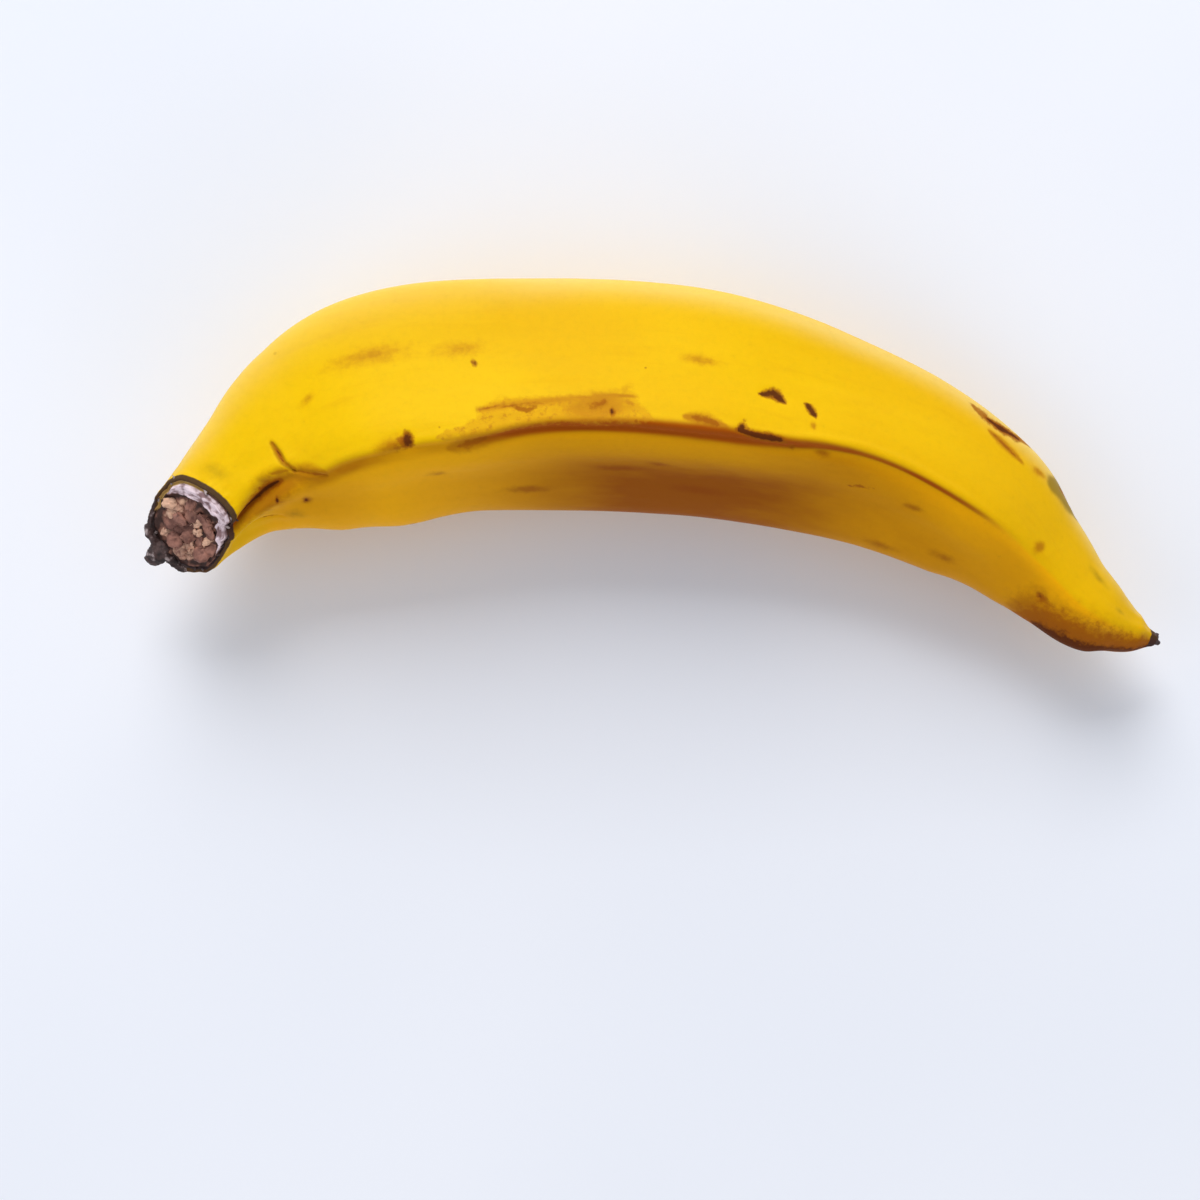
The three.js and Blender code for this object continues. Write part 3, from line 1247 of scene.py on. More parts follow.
@dataclass
class Peel:
    """The whole skin of the fruit, from the rim of the cut to the blossom end.

    lip_mm, groove_mm and hollow_mm shape the fold along the side ridge, and neck_groove_mm the deep fold of the
    neck. paunch_mm fills out the neck's underside. blunt_mm is the shoulder before the tip. neck_folds_mm,
    tip_folds_mm and uneven_mm are the heights of the fine folds and of the unevenness. rim_curl and tip_close give
    the last rings' sizes, and how far out they lie.
    """

    form: Form
    place: Vector
    rings: int = 400
    sides: int = 220
    lip_mm: float = 0.5
    groove_mm: float = 0.95
    hollow_mm: float = 0.42
    neck_groove_mm: float = 2.0
    blunt_mm: float = 1.5
    paunch_mm: Profile = (
        (1, 0),
        (5, -1.2),
        (10, -1.1),
        (15, -0.4),
        (19.5, 1.0),
        (24, 2.0),
        (37, 3.1),
        (46, 3.5),
        (58, 2.8),
        (67, 1.3),
        (78, 0.1),
        (86, 0),
    )
    neck_folds_mm: float = 0.32
    tip_folds_mm: float = 0.22
    uneven_mm: float = 0.4
    rim_curl: tuple[tuple[float, float], ...] = ((0.975, 0.22), (0.945, 0.05), (0.925, -0.5), (0.915, -1.4))
    tip_close: tuple[tuple[float, float], ...] = ((0.9, 0.35), (0.7, 0.65), (0.4, 0.85))
    cut_ring: np.ndarray = field(default_factory=lambda: np.zeros(0))
    cut_out: np.ndarray = field(default_factory=lambda: np.zeros(3))
    tip_point: np.ndarray = field(default_factory=lambda: np.zeros(3))
    tip_out: np.ndarray = field(default_factory=lambda: np.zeros(3))

    def build(self) -> bpy.types.Object:
        """Makes the skin.

        Returns:
            The piece, still undressed.
        """
        gaps = ((0, 0.55), (0.12, 0.9), (0.3, 1.1), (0.85, 1.0), (0.96, 0.7), (1, 0.5))
        frames = self.form.frames(gaps, self.rings)
        along = np.repeat(frames.along_mm[:, None], self.sides, axis=1)
        ridge = through(self.form.ridge_line, frames.along_mm)[:, None]
        degrees = ridge + self._fan()[None, :]
        plain = self.form.surface(frames, degrees) + np.array(self.place)
        beyond = self._around(plain)
        local = self._unbent(plain, frames, along)
        fields = self._stains_and_painted_light(along, degrees, beyond, plain)
        depth = self._relief(along, degrees, beyond, local) - self._dents(along, degrees, plain)
        skin = plain + (depth * MM)[..., None] * normals_of(plain)
        skin[..., 2] = self._rest(skin[..., 2])
        skin, fields = self._close(skin, {**fields, "unbent": local * MM}, frames)
        return Shell("peel", skin, fields).build()

    def _fan(self) -> np.ndarray:
        """The directions round a ring, crowded near the side ridge.

        Returns:
            Degrees from the side ridge.
        """
        fine = np.linspace(-180, 180, 3601)
        crowd = 1 + 3.2 * hump(fine, 1.5, 9)
        filled = np.concatenate([[0.0], np.cumsum(0.5 * (crowd[1:] + crowd[:-1]))])
        return np.interp(np.arange(self.sides) / self.sides * filled[-1], filled, fine)

    def _around(self, plain: np.ndarray) -> np.ndarray:
        """How far each point lies round the ring from the side ridge.

        Args:
            plain: The skin's points.

        Returns:
            Millimetres, positive downwards.
        """
        step = np.linalg.norm(np.roll(plain, -1, axis=1) - plain, axis=2) / MM
        walked = np.concatenate([np.zeros((len(step), 1)), np.cumsum(step, axis=1)[:, :-1]], axis=1)
        start = np.abs(self._fan()).argmin()
        return walked - walked[:, start : start + 1]

    @staticmethod
    def _unbent(plain: np.ndarray, frames: Frames, along: np.ndarray) -> np.ndarray:
        """Each point's place in millimetres if the fruit were straightened.

        Args:
            plain: The skin's points.
            frames: The rings.
            along: The points' places along the fruit.

        Returns:
            Points with the length first.
        """
        middle = plain.mean(axis=1, keepdims=True)
        arm = (plain - middle) / MM
        out = (arm * frames.outward[:, None]).sum(-1)
        up = (arm * frames.upward[:, None]).sum(-1)
        return np.stack([along, out, up], axis=-1)

    def _relief(self, along: np.ndarray, degrees: np.ndarray, beyond: np.ndarray, local: np.ndarray) -> np.ndarray:
        """How far the real skin stands off the plain form.

        Args:
            along: Millimetres along the fruit.
            degrees: Degrees round it.
            beyond: Millimetres below the side ridge.
            local: The straightened places.

        Returns:
            Millimetres outwards.
        """
        on = ease(18, 34, along) * ease(232, 196, along)
        crisp = through(((0, 0.3), (40, 0.5), (70, 0.6), (90, 1), (130, 0.9), (160, 1), (205, 0.9), (230, 0)), along)
        wander = 0.35 * Lumps(5).at(local * [0.25, 0, 0] + [0, 3, 0], 3.0)
        line = beyond + wander
        lip = self.lip_mm * crisp * hump(line, -0.8, 1.3)
        groove = -self.groove_mm * crisp * hump(line, 1.4, np.where(line < 1.4, 0.95, 2.2))
        belly = self.hollow_mm * (hump(line, 8.5, 3.6) - hump(line, 16, 6))
        belly = belly * ease(30, 60, along) * ease(236, 190, along)
        long_lumps = local * [0.22, 1, 1]
        uneven = self.uneven_mm * Lumps(11).at(local * [0.6, 1, 1], 34)
        uneven += 0.12 * Lumps(17).at(long_lumps, 6.5) + 0.04 * Lumps(23).layered(long_lumps, 2.4, 2)
        wobble = 0.5 * Lumps(31).at(local * [0.08, 1, 1], 9)
        swirl = np.radians(degrees) + 0.02 * along + 0.5 * wobble
        near_cut = ease(34, 2, along)
        folds = self.neck_folds_mm * near_cut * (0.6 * np.cos(7 * swirl) + 0.4 * np.cos(12 * swirl + 1.3))
        near_tip = ease(222, 252, along)
        folds += self.tip_folds_mm * near_tip * (0.6 * np.cos(5 * swirl + 0.4) + 0.4 * np.cos(9 * swirl))
        blunt = self.blunt_mm * ease(234, 246, along) * ease(258.5, 253.5, along)
        blunt *= 1 - 0.6 * hump(degrees, 175, 45) * ease(244, 250, along)
        valley = self._valley(along, degrees)
        neck = -self.neck_groove_mm * hump(valley, 0.3, 1.7) * ease(-4, 2, along) * ease(30, 13, along)
        brow = 0.7 * hump(valley, -3.2, 2.2) * ease(2, 8, along) * ease(36, 18, along)
        brow += 0.8 * hump(valley, 4.0, 2.4) * ease(-2, 5, along) * ease(40, 16, along)
        neck -= 1.7 * hump(degrees, 163, 24) * ease(22, 2, along)
        paunch = through(self.paunch_mm, along) * hump(degrees, 170, 34)
        rough_rim = 0.35 * ease(3.0, 0, along) * (0.6 + 0.9 * Lumps(41).layered(local, 2.2, 2))
        return on * (lip + groove) + belly + uneven + folds + blunt + neck + paunch + brow + rough_rim

    @staticmethod
    def _valley(along: np.ndarray, degrees: np.ndarray) -> np.ndarray:
        """How far each point lies beyond the neck's deep fold, in millimetres round the neck."""
        path = through(((0, 135.5), (4.5, 126.5), (10, 119.5), (17.5, 114.2), (28, 112.5), (40, 111.5)), along)
        return (degrees - path) * through(((0, 0.19), (20, 0.3), (40, 0.42)), along)

    def _spread(self, mark: Mark, along: np.ndarray, degrees: np.ndarray, plain: np.ndarray) -> np.ndarray:
        """How far inside a mark each point is: 1 at its middle, 0 on its edge, less outside.

        Args:
            mark: The mark.
            along: Millimetres along the fruit.
            degrees: Degrees round it.
            plain: The skin's points.

        Returns:
            The share for each point.
        """
        start, turn_from = mark.path[0]
        row = int(np.abs(along[:, 0] - start).argmin())
        radius = np.linalg.norm(plain[row] - plain[row].mean(axis=0), axis=1).mean() / MM
        turn = (degrees - turn_from + 180) % 360 - 180
        x, y = along - start, -np.radians(turn) * radius
        if len(mark.path) == 1:
            lean = math.radians(mark.lean_deg)
            u = (x * math.cos(lean) + y * math.sin(lean)) / (0.5 * mark.long_mm)
            v = (y * math.cos(lean) - x * math.sin(lean)) / (0.5 * mark.wide_mm)
            return 1 - np.hypot(u, v)
        knots = np.array([(a - start, -math.radians(d - turn_from) * radius) for a, d in mark.path])
        walked = np.concatenate([[0.0], np.cumsum(np.linalg.norm(np.diff(knots, axis=0), axis=1))])
        inside = np.full(along.shape, -9.0)
        for k, (a, b) in enumerate(zip(knots[:-1], knots[1:])):
            step = b - a
            part = np.clip(((x - a[0]) * step[0] + (y - a[1]) * step[1]) / (step @ step), 0, 1)
            gap = np.hypot(x - a[0] - part * step[0], y - a[1] - part * step[1])
            share = (walked[k] + part * (walked[k + 1] - walked[k])) / walked[-1]
            half = 0.5 * mark.wide_mm * (1 - mark.taper * np.abs(2 * share - 1) ** 2)
            np.maximum(inside, 1 - gap / half, out=inside)
        return inside

    def _dents(self, along: np.ndarray, degrees: np.ndarray, plain: np.ndarray) -> np.ndarray:
        """How deep the marks are sunk.

        Args:
            along: Millimetres along the fruit.
            degrees: Degrees round it.
            plain: The skin's points.

        Returns:
            Millimetres inwards.
        """
        depth = np.zeros_like(along)
        for mark in MARKS:
            if mark.dent_mm:
                depth += mark.dent_mm * ease(-0.4, 0.5, self._spread(mark, along, degrees, plain))
        return depth

    def _stains_and_painted_light(
        self, along: np.ndarray, degrees: np.ndarray, beyond: np.ndarray, plain: np.ndarray
    ) -> dict[str, np.ndarray]:
        """The peel's attributes: how far inside each kind of stain a point is, with painted shade, painted light and a
        painted sheen among them.

        Args:
            along: Millimetres along the fruit.
            degrees: Degrees round it.
            beyond: Millimetres below the side ridge.
            plain: The skin's points.

        Returns:
            A value for each point, by attribute.
        """
        # stains also gathers the painted shade, light and sheen below.
        stains = {tone.value: np.full(along.shape, -1.0) for tone in Tone}
        for mark in MARKS:
            inside = self._spread(mark, along, degrees, plain)
            spread = np.clip(inside, -1, 1) + (mark.strength - 1)
            layer = stains[mark.tone.value]
            np.maximum(layer, np.clip(spread, -1, 1), out=layer)

        band = through(CORK_WIDE, along)
        inside = 1 - np.abs(beyond + 0.5 * band - 0.2) / (0.5 * band + 0.2)
        inside = 2.2 * inside - 3.2 * ease(116, 125, along) - 3.2 * ease(73, 66, along)
        np.maximum(stains["cork"], np.clip(inside, -1, 0.8), out=stains["cork"])

        # Partly the brown line under the side ridge, partly painted shade in the groove under the lip, and painted
        # shade in the neck's deep fold.
        wide, dark, crest = through(FOLD_WIDE, along), through(FOLD_DARK, along), through(FOLD_AT, along)
        fold = dark * np.exp(-np.abs((beyond - crest) / wide) ** 2.6)
        neck = 0.95 * hump(self._valley(along, degrees), 0.3, 1.5) * ease(-4, 1, along) * ease(27, 14, along)
        stains["fold"] = np.maximum(fold, neck)

        stains["dry"] = np.clip(np.maximum(2 * (1 - along / 0.9), (along - 257.6) / 0.4), 0, 1)
        # under: partly the peel's warmer underside, partly painted warm light bounced up from below.
        stains["under"] = ease(-0.6, 0.8, beyond) * ease(75, 45, beyond) * ease(3, 18, along)
        # A painted pool of light on the upper face near the stem, where the peel is kept less golden; the rest is tone
        # along and round the fruit.
        painted_sunlit_patch = hump(along, 62, 34) * hump(degrees, 96, 24)
        stains["golden"] = np.clip(0.35 + 0.5 * ease(120, 235, along) + 0.25 * ease(70, 30, degrees) - painted_sunlit_patch, 0, 1)
        # Painted shade on the lower face, where the fruit lay against the one below.
        down = ease(5, 17, beyond)
        shade = through(SHADE_HIGH, along) * (1 - down) + through(SHADE_LOW, along) * down
        shade = shade * ease(0, 4, beyond) * ease(64, 30, beyond)
        # Painted shade under the neck.
        neck = 0.3 * hump(degrees, 140, 26) * ease(4, 14, along) * ease(56, 26, along)
        stains["painted_shade"] = np.maximum(shade, neck)
        # Painted sheen along the back ridge.
        painted_sheen = hump(degrees, through(SHEEN_AT, along), through(SHEEN_WIDE, along))
        stains["painted_sheen"] = painted_sheen * ease(-6, 12, along) * (1 - 0.5 * ease(215, 245, along))
        return stains

    @staticmethod
    def _rest(height: np.ndarray) -> np.ndarray:
        """Flattens what would reach into the table."""
        return np.maximum(height, 0.0)

    def _close(
        self, skin: np.ndarray, fields: dict[str, np.ndarray], frames: Frames
    ) -> tuple[np.ndarray, dict[str, np.ndarray]]:
        """Curls the skin in at the cut and rounds it off at the tip.

        Args:
            skin: The skin's rings.
            fields: Its attributes.
            frames: The rings' frames.

        Returns:
            The longer list of rings, and its attributes.
        """
        ring = skin[0]
        centre = ring.mean(axis=0)
        out = np.cross(ring[len(ring) // 4] - centre, ring[0] - centre)
        out /= np.linalg.norm(out)
        out *= -np.sign(out @ frames.tangent[0])
        self.cut_ring, self.cut_out = ring, out
        head = [centre + (ring - centre) * s + out * h * MM for s, h in self.rim_curl]
        end, ahead = skin[-1], frames.tangent[-1]
        tip = end.mean(axis=0)
        radius = np.linalg.norm(end - tip, axis=1).mean()
        tail = [tip + (end - tip) * s + ahead * radius * h for s, h in self.tip_close]
        self.tip_point, self.tip_out = tip + ahead * radius * 0.6, ahead
        longer = np.concatenate([np.stack(head[::-1]), skin, np.stack(tail)])
        grown = {
            name: np.concatenate([np.repeat(v[:1], len(head), 0), v, np.repeat(v[-1:], len(tail), 0)])
            for name, v in fields.items()
        }
        return longer, grown


# ---------------------------------------------------------------------------------------------------------
# The stem's cut
# ---------------------------------------------------------------------------------------------------------


@dataclass
class CutFace:
    """The dried face that the knife left, seated inside the peel's rim."""

    rows: int = 72
    reach: float = 0.955
    seat_mm: float = 1.6
    core_share: float = 0.55
    ring_up_mm: float = 0.6
    sunk_mm: float = 0.45
    pit_mm: float = 0.5
    lump_mm: float = 0.75

    def build(self, peel: Peel) -> bpy.types.Object:
        """Makes the face.

        Args:
            peel: The finished skin, which gives the rim.

        Returns:
            The piece, still undressed.
        """
        rim = peel.cut_ring
        centre, out = rim.mean(axis=0), peel.cut_out
        share = np.linspace(0.02, self.reach, self.rows)[:, None]
        flat = centre + (rim[None] - centre) * share[..., None]
        arm = rim - centre
        arm /= np.linalg.norm(arm, axis=1, keepdims=True)
        upper = arm @ np.array([0.62, 0.62, 0.35])
        core = self.core_share + 0.28 * ease(0.75, -0.35, upper)[None, :]
        core = core + 0.05 * Lumps(3).at(arm * 3, 1.0)[None, :]
        mm = flat / MM
        ring = ease(core + 0.015, core + 0.07, share) * ease(0.9, 0.85, share)
        tan = ease(0.84, 0.88, share) * ease(0.95, 0.93, share) * ease(0.35, 0.85, arm @ np.array([-0.55, 0.8, 0.2]))
        pit = hump(share, core - 0.02, 0.06)
        lumps = Lumps(7).layered(mm, 4.4, 3)
        small = Lumps(9).layered(mm, 1.6, 2)
        angle = np.arctan2(arm @ np.cross(out, [0.0, 0.0, 1.0]), arm[:, 2])[None, :]
        curved = np.stack(np.broadcast_arrays(share * 10.5, 2.4 * np.cos(angle), 2.4 * np.sin(angle)), axis=-1)
        strands = Lumps(15).layered(curved, 1.1, 2)
        in_core = 1 - ease(core - 0.08, core, share)
        height = ring * (self.ring_up_mm + 0.45 * strands + 0.35 * Lumps(13).at(mm, 3.0))
        height += in_core * (self.lump_mm * lumps - self.sunk_mm) + 0.18 * small
        height -= self.pit_mm * pit * (0.7 + 0.5 * lumps)
        height -= 0.6 * hump(share, 0.9, 0.03)
        top = flat + (height * MM)[..., None] * out
        under = np.stack([centre + (rim - centre) * s - out * self.seat_mm * MM for s in (self.reach, 0.5, 0.02)])
        raised = np.clip(0.42 + 0.5 * lumps * in_core + 0.3 * small + 0.3 * strands * ring - 0.3 * pit, 0, 1)
        fields = {
            "raised": raised,
            "ring": ring * ease(-0.35, 0.35, upper)[None, :],
            "tan": tan,
            "edge": np.maximum(ease(0.9, 0.94, share) - tan, 0.7 * ease(0.86, 0.9, share) * (1 - tan)),
            "core": in_core * ease(0.0, 0.2, core - 0.06 - share),
            "rim": ease(0.9, 0.94, share),
            "grain": curved * MM,
        }
        whole = share.shape[:1] + upper.shape
        padded = {}
        for name, values in fields.items():
            values = np.broadcast_to(values, whole + values.shape[2:])
            padded[name] = np.concatenate([values, np.zeros((3,) + values.shape[1:])])
        return Shell("cut_face", np.concatenate([top, under]), padded).build()


class Growth(Enum):
    """What grows on the cut: rounded grains of dried pith, or pointed shreds of skin."""

    GRAIN = "grain"
    SHRED = "shred"


@dataclass
class Sprouts:
    """Small growths scattered over part of a surface, as one piece.

    where names the attribute that says how likely one is to grow. apart_mm is the least gap between two of them,
    lean how far they tilt, and ragged_mm how far their skin is torn about.
    """

    name: str
    growth: Growth
    where: str
    apart_mm: float
    wide_mm: float
    long_mm: float
    lean: float
    ragged_mm: float
    seed: int

    def build(self, host: bpy.types.Object, material: bpy.types.Material) -> bpy.types.Object:
        """Scatters them on a copy of the host.

        Args:
            host: The piece that they grow on.
            material: Their material.

        Returns:
            The piece, a plain mesh.
        """
        tree, sockets = self._tree()
        carrier = bpy.data.objects.new("carrier", host.data.copy())
        bpy.context.scene.collection.objects.link(carrier)
        grow = carrier.modifiers.new("grow", "NODES")
        grow.node_group = tree
        given = {
            "Apart": self.apart_mm * MM,
            "Width": self.wide_mm * MM,
            "Length": self.long_mm * MM,
            "Lean": self.lean,
            "Ragged": self.ragged_mm * MM,
            "Seed": self.seed,
            "Material": material,
        }
        for name, value in given.items():
            grow[sockets[name]] = value
        graph = bpy.context.evaluated_depsgraph_get()
        mesh = bpy.data.meshes.new_from_object(carrier.evaluated_get(graph))
        carrier.modifiers.remove(grow)
        bpy.data.objects.remove(carrier)
        mesh.name = self.name
        mesh.shade_smooth()
        made = bpy.data.objects.new(self.name, mesh)
        bpy.context.scene.collection.objects.link(made)
        return made

    def _tree(self) -> tuple[bpy.types.NodeTree, dict[str, str]]:
        """Builds the tree.

        Returns:
            The tree, and its inputs' identifiers by name.
        """
        tree = bpy.data.node_groups.new(f"{self.name}_on_surface", "GeometryNodeTree")
        kinds = {
            "Geometry": "NodeSocketGeometry",
            "Apart": "NodeSocketFloat",
            "Width": "NodeSocketFloat",
            "Length": "NodeSocketFloat",
            "Lean": "NodeSocketFloat",
            "Ragged": "NodeSocketFloat",
            "Seed": "NodeSocketInt",
            "Material": "NodeSocketMaterial",
        }
        face = tree.interface
        sockets = {n: face.new_socket(n, in_out="INPUT", socket_type=k).identifier for n, k in kinds.items()}
        face.new_socket("Geometry", in_out="OUTPUT", socket_type="NodeSocketGeometry")
        n = Nodes(tree)
        given = n.node("NodeGroupInput")

        def take(name: str) -> Value:
            """One of the tree's inputs."""
            return Value(n, given.outputs[name])

        def chance(kind: str, low: object, high: object, seed: int) -> Value:
            """A random value for each growth.

            Args:
                kind: The value's data type.
                low: The least that it can be.
                high: The most that it can be.
                seed: What is added to the tree's seed.

            Returns:
                The value.
            """
            node = n.node("FunctionNodeRandomValue", {"data_type": kind})
            live = [s for s in node.inputs if s.enabled and s.name in ("Min", "Max")]
            live[0].default_value, live[1].default_value = low, high
            tree.links.new((take("Seed") + seed).socket, node.inputs["Seed"])
            return Value(n, next(s for s in node.outputs if s.enabled))

        def scaled(vector: Value, size: Number) -> Value:
            """A vector times a number."""
            return n.value("ShaderNodeVectorMath", {"operation": "SCALE"}, {0: vector, "Scale": size})

        where = n.node("GeometryNodeInputNamedAttribute", {"data_type": "FLOAT"}, {"Name": self.where})
        scatter = n.node(
            "GeometryNodeDistributePointsOnFaces",
            {"distribute_method": "POISSON"},
            {
                "Mesh": take("Geometry"),
                "Distance Min": take("Apart"),
                "Density Max": 3.0e6,
                "Density Factor": Value(n, where.outputs["Attribute"]),
                "Seed": take("Seed"),
            },
        )
        if self.growth is Growth.GRAIN:
            seedling = n.value("GeometryNodeMeshIcoSphere", None, {"Radius": 0.5, "Subdivisions": 3}, "Mesh")
        else:
            seedling = n.value(
                "GeometryNodeMeshCone",
                {"fill_type": "NGON"},
                {"Vertices": 7, "Side Segments": 4, "Radius Top": 0.08, "Radius Bottom": 0.5, "Depth": 1.0},
                "Mesh",
            )
        spin = chance("FLOAT_VECTOR", (-1.0, -1.0, -3.1), (1.0, 1.0, 3.1), 3)
        lean = n.value("ShaderNodeCombineXYZ", None, {"X": take("Lean"), "Y": take("Lean"), "Z": 1.0})
        turned = n.value("ShaderNodeVectorMath", {"operation": "MULTIPLY"}, {0: spin, 1: lean})
        tilt = n.value(
            "FunctionNodeRotateRotation",
            {"rotation_space": "LOCAL"},
            {"Rotation": Value(n, scatter.outputs["Rotation"]), "Rotate By": turned},
        )
        size = n.value(
            "ShaderNodeCombineXYZ",
            None,
            {
                "X": take("Width") * chance("FLOAT", 0.5, 1.3, 7),
                "Y": take("Width") * chance("FLOAT", 0.5, 1.3, 8),
                "Z": take("Length") * chance("FLOAT", 0.4, 1.4, 9),
            },
        )
        placed = n.value(
            "GeometryNodeInstanceOnPoints",
            None,
            {"Points": Value(n, scatter.outputs["Points"]), "Instance": seedling, "Rotation": tilt, "Scale": size},
        )
        toned = n.value(
            "GeometryNodeStoreNamedAttribute",
            {"data_type": "FLOAT", "domain": "INSTANCE"},
            {"Geometry": placed, "Name": "tone", "Value": chance("FLOAT", 0.0, 1.0, 21)},
        )
        real = n.value("GeometryNodeRealizeInstances", None, {"Geometry": toned})
        here = n.value("GeometryNodeInputPosition")
        cloud = n.value("ShaderNodeTexNoise", None, {"Vector": here, "Scale": 1300.0, "Detail": 2.0}, "Color")
        middle = n.value("ShaderNodeVectorMath", {"operation": "SUBTRACT"}, {0: cloud, 1: (0.5, 0.5, 0.5)})
        torn = n.value(
            "GeometryNodeSetPosition", None, {"Geometry": real, "Offset": scaled(middle, take("Ragged") * 4.0)}
        )
        dressed = n.value("GeometryNodeSetMaterial", None, {"Geometry": torn, "Material": take("Material")})
        n.node("NodeGroupOutput", None, {"Geometry": dressed})
        return tree, sockets


PITH_GRAINS = Sprouts(
    "pith_grains",
    Growth.GRAIN,
    where="core",
    apart_mm=2.5,
    wide_mm=3.9,
    long_mm=1.5,
    lean=0.4,
    ragged_mm=0.5,
    seed=12,
)
RIM_SHREDS = Sprouts(
    "rim_shreds",
    Growth.SHRED,
    where="rim",
    apart_mm=1.3,
    wide_mm=0.9,
    long_mm=1.3,
    lean=0.8,
    ragged_mm=0.25,
    seed=5,
)


@dataclass
class DriedStub:
    """A lumpy dried end: a short bent horn with a torn surface."""

    name: str
    path: Sequence[Sequence[float]]
    radii_mm: Sequence[float]
    lump_mm: float = 0.8
    lump_size_mm: float = 3.0
    seed: int = 1
    rows: int = 48
    sides: int = 48

    def build(self) -> bpy.types.Object:
        """Makes the stub.

        Returns:
            The piece, still undressed.
        """
        knots = np.linspace(0, 1, len(self.path))
        t = np.linspace(0, 1, self.rows)
        points = np.array(self.path, float)
        line = np.stack([through(list(zip(knots, points[:, k])), t) for k in range(3)], axis=-1)
        ahead = np.gradient(line, axis=0)
        ahead /= np.linalg.norm(ahead, axis=1, keepdims=True)
        side = np.cross(ahead, [0.0, 0.0, 1.0])
        side /= np.linalg.norm(side, axis=1, keepdims=True)
        rise = np.cross(side, ahead)
        radius = through(list(zip(knots, self.radii_mm)), t) * np.sqrt(np.clip(4 * t * (1 - t) * 6, 0.02, 1))
        angle = np.linspace(0, 2 * np.pi, self.sides, endpoint=False)
        arm = np.cos(angle)[None, :, None] * side[:, None] + np.sin(angle)[None, :, None] * rise[:, None]
        plain = line[:, None] + arm * (radius * MM)[:, None, None]
        lumps = Lumps(self.seed).layered(plain / MM, self.lump_size_mm, 4)
        skin = plain + arm * (lumps * self.lump_mm * MM * np.minimum(1, radius / 1.2)[:, None])[..., None]
        # tone is highest on the raised lumps, which get the paler colour: partly their own, partly painted glints on
        # the crests.
        tone = np.clip(0.35 + 0.6 * lumps, 0, 1)
        return Shell(self.name, skin, {"tone": tone}).build()


# ---------------------------------------------------------------------------------------------------------
# The studio
# ---------------------------------------------------------------------------------------------------------


@dataclass
class Studio:
    """A pale floor, soft light from beyond the fruit's back, and a camera that looks straight down."""

    floor_size: float = 16.0
    lens: float = 100.0
    sensor: float = 36.0
    distance: float = 0.8
    aim_height: float = 0.025
    aim_right: float = -0.0164
    aim_up: float = -0.0344
    roll: float = math.radians(6.66)
    key_power: float = 37.0
    rim_power: float = 5.0
    fill_power: float = 2.0
    front_power: float = 3.8
    sky: float = 0.5

    def build(self) -> None:
        """Sets up the floor, the lights, the sky and the camera."""
        self._floor()
        sun, day, lamp = (1.0, 0.98, 0.95), (0.95, 0.97, 1.0), (1.0, 0.93, 0.82)
        self._light("key_light", place=(-0.5, 1.65, 1.5), size=1.25, power=self.key_power, colour=sun)
        self._light("rim_light", place=(0.1, 1.9, 0.6), size=1.0, power=self.rim_power, colour=sun)
        self._light("fill_light", place=(-0.9, -0.5, 0.9), size=0.9, power=self.fill_power, colour=day)
        self._light("front_light", place=(0.6, -1.15, 0.4), size=0.8, power=self.front_power, colour=lamp)
        self._sky()
        self._camera()
        bpy.context.scene.view_settings.view_transform = "Standard"
        bpy.context.scene.view_settings.look = "None"

    def _floor(self) -> None:
        """Lays the floor."""
        half = self.floor_size / 2
        mesh = bpy.data.meshes.new("floor")
        mesh.from_pydata([(-half, -half, 0), (half, -half, 0), (half, half, 0), (-half, half, 0)], [], [(0, 1, 2, 3)])
        floor = bpy.data.objects.new("floor", mesh)
        bpy.context.scene.collection.objects.link(floor)
        mesh.materials.append(FloorFinish().build())
        floor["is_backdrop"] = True

    def _light(
        self, name: str, place: Sequence[float], size: float, power: float, colour: Sequence[float]
    ) -> None:
        """Hangs one square soft light that faces the fruit.

        Args:
            name: The light's name.
            place: Where it hangs.
            size: Its side.
            power: Its power in watts.
            colour: Its colour.
        """
        lamp = bpy.data.lights.new(name, "AREA")
        lamp.shape, lamp.size, lamp.energy, lamp.color = "SQUARE", size, power, colour
        made = bpy.data.objects.new(name, lamp)
        bpy.context.scene.collection.objects.link(made)
        made.location = place
        made.rotation_euler = (-Vector(place)).to_track_quat("-Z", "Y").to_euler()

    def _sky(self) -> None:
        """Fills the room with even pale light."""
        world = bpy.data.worlds.new("pale_room")
        bpy.context.scene.world = world
        world.use_nodes = True
        world.node_tree.nodes.clear()
        n = Nodes(world.node_tree)
        light = n.value("ShaderNodeBackground", None, {"Color": (0.9, 0.94, 1.0, 1.0), "Strength": self.sky})
        n.node("ShaderNodeOutputWorld", None, {"Surface": light})

    def _camera(self) -> None:
        """Places the camera above the fruit, turned so that the fruit lies as it should across the frame."""
        lens = bpy.data.cameras.new("camera")
        lens.lens, lens.sensor_width = self.lens, self.sensor
        lens.clip_start, lens.clip_end = 0.01, 50.0
        camera = bpy.data.objects.new("camera", lens)
        bpy.context.scene.collection.objects.link(camera)
        turn = Matrix.Rotation(self.roll, 4, "Z")
        aim = turn @ Vector((self.aim_right, self.aim_up, self.aim_height + self.distance))
        camera.matrix_world = Matrix.Translation(aim) @ turn
        bpy.context.scene.camera = camera


# ---------------------------------------------------------------------------------------------------------


def place_of(form: Form) -> Vector:
    """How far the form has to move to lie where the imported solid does.

    Args:
        form: The fruit's form.

    Returns:
        The move.
    """
    rings, sides = 200, 90
    frames = form.frames(((0, 1), (1, 1)), rings)
    points = form.surface(frames, np.broadcast_to(np.arange(0, 360, 360 / sides), (rings, sides)))
    low, high = points.min(axis=(0, 1)), points.max(axis=(0, 1))
    solid_low, solid_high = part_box(NODE)
    move = (solid_low + solid_high) / 2 - Vector((low + high) / 2)
    return Vector((move.x, move.y, 0.0))


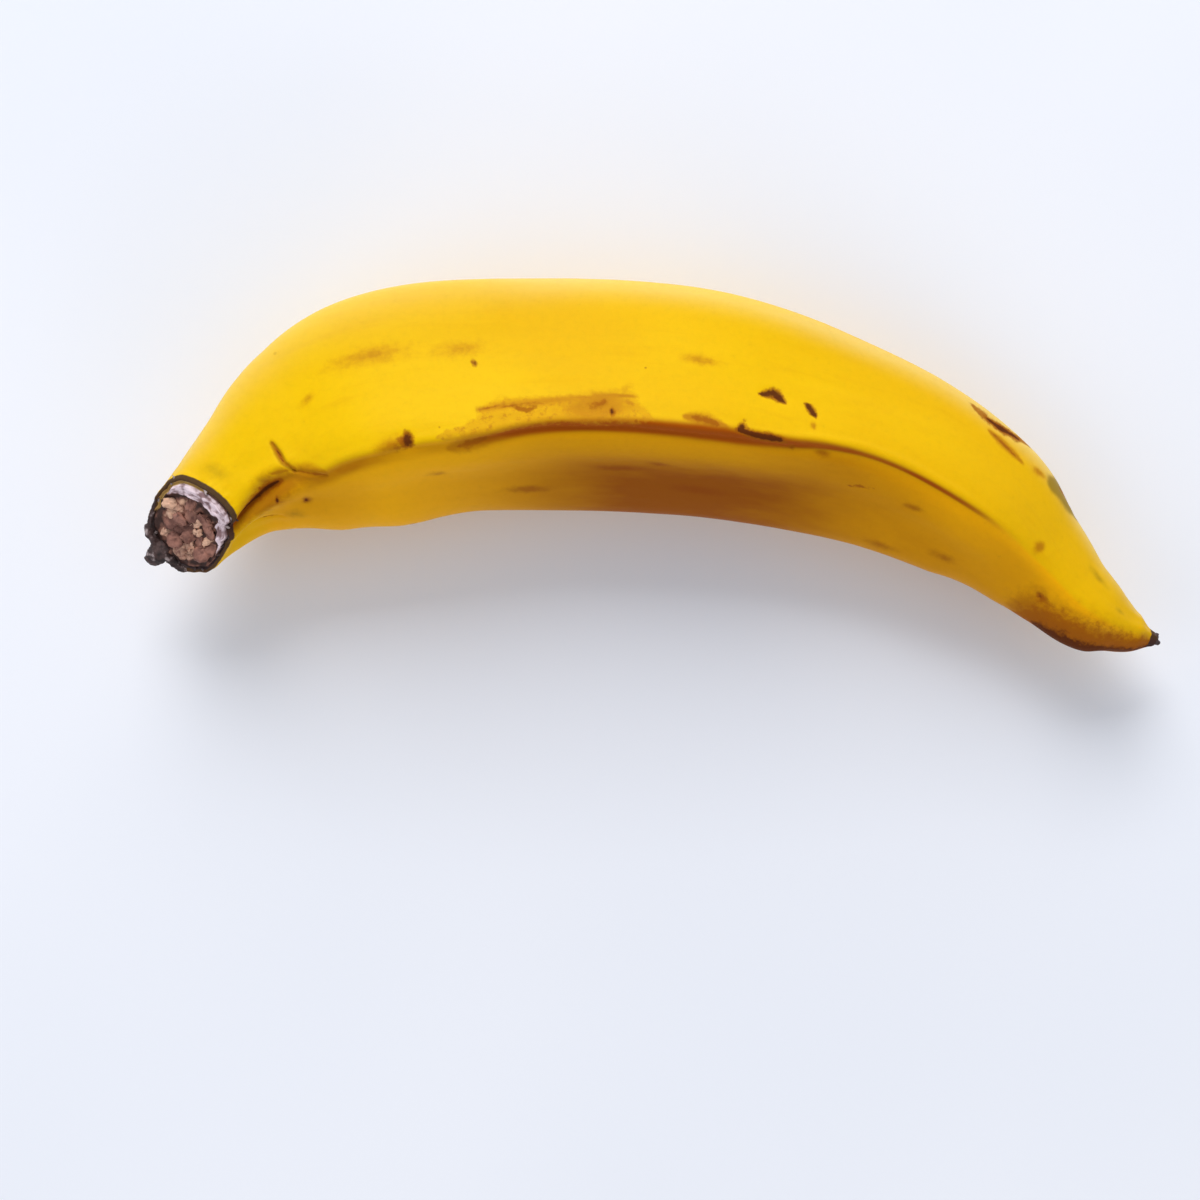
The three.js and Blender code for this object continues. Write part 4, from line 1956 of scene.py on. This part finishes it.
def stem_stubs(skin: Peel) -> list[DriedStub]:
    """The torn bead along the near side of the cut's rim, and the dried knob at its corner.

    Args:
        skin: The finished skin, which gives the rim.

    Returns:
        The stubs.
    """
    centre, out = skin.cut_ring.mean(axis=0), skin.cut_out

    def rim(x: float, y: float) -> np.ndarray:
        """The rim's point that lies furthest towards x and y."""
        return skin.cut_ring[((skin.cut_ring - centre) @ np.array([x, y, 0.0])).argmax()]

    bead = [rim(-1.0, 0.4), rim(-1.0, -0.1), rim(-0.85, -0.55), rim(-0.45, -0.9), rim(-0.1, -1.0)]
    bead = [point * 0.96 + centre * 0.04 + out * 0.0002 for point in bead]
    seat, away = rim(-0.75, -0.65) + [0.0014, -0.0015, 0.0], np.array([-0.62, -0.72, -0.12])
    knob = [seat + away * reach for reach in (-0.0025, 0.001, 0.0042)]
    return [
        DriedStub("rim_bead", bead, (0.25, 0.7, 1.3, 0.9, 0.3), lump_mm=0.75, lump_size_mm=1.7, seed=3),
        DriedStub("stem_knob", knob, (2.0, 2.7, 1.2), lump_mm=0.6, lump_size_mm=2.8, seed=4),
    ]


def tip_stubs(skin: Peel) -> list[DriedStub]:
    """The two dried prongs that the flower left on the tip.

    Args:
        skin: The finished skin, which gives the tip.

    Returns:
        The stubs.
    """
    tip, ahead, up = skin.tip_point, skin.tip_out, np.array([0.0, 0.9, 0.35])
    prongs = (("tip_prong_upper", 0.0002, 0.0018, 5), ("tip_prong_lower", 0.0011, -0.0008, 8))
    stubs = []
    for name, reach, spread, seed in prongs:
        path = [tip - ahead * 0.0025, tip - ahead * 0.0004, tip + ahead * reach + up * spread]
        stubs.append(DriedStub(name, path, (1.2, 0.95, 0.55), lump_mm=0.3, lump_size_mm=1.1, seed=seed))
    return stubs


def main() -> None:
    """Builds the fruit piece by piece, dresses it, and sets the studio round it."""
    logging.basicConfig(level=logging.INFO, format="%(name)s: %(message)s")
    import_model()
    solid_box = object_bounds()

    form = Form()
    skin = Peel(form, place_of(form))
    peel = settle(skin.build(), PeelFinish().build(), Slot.PEEL)
    cut = settle(CutFace().build(skin), CutFinish().build(), Slot.CUT_STEM)
    pith = PITH_FINISH.build()
    husk = HUSK_FINISH.build()
    settle(PITH_GRAINS.build(cut, pith), pith, Slot.CUT_STEM)
    settle(RIM_SHREDS.build(cut, husk), husk, Slot.CUT_STEM)
    for stub in stem_stubs(skin) + tip_stubs(skin):
        settle(stub.build(), husk, Slot.CUT_STEM)

    Studio().build()
    sizes = {"cad": [list(v) for v in solid_box], "visual": [list(v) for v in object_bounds()]}
    LOG.info("peel object %s, box %s", peel.name, sizes["visual"])


if __name__ == "__main__":
    main()
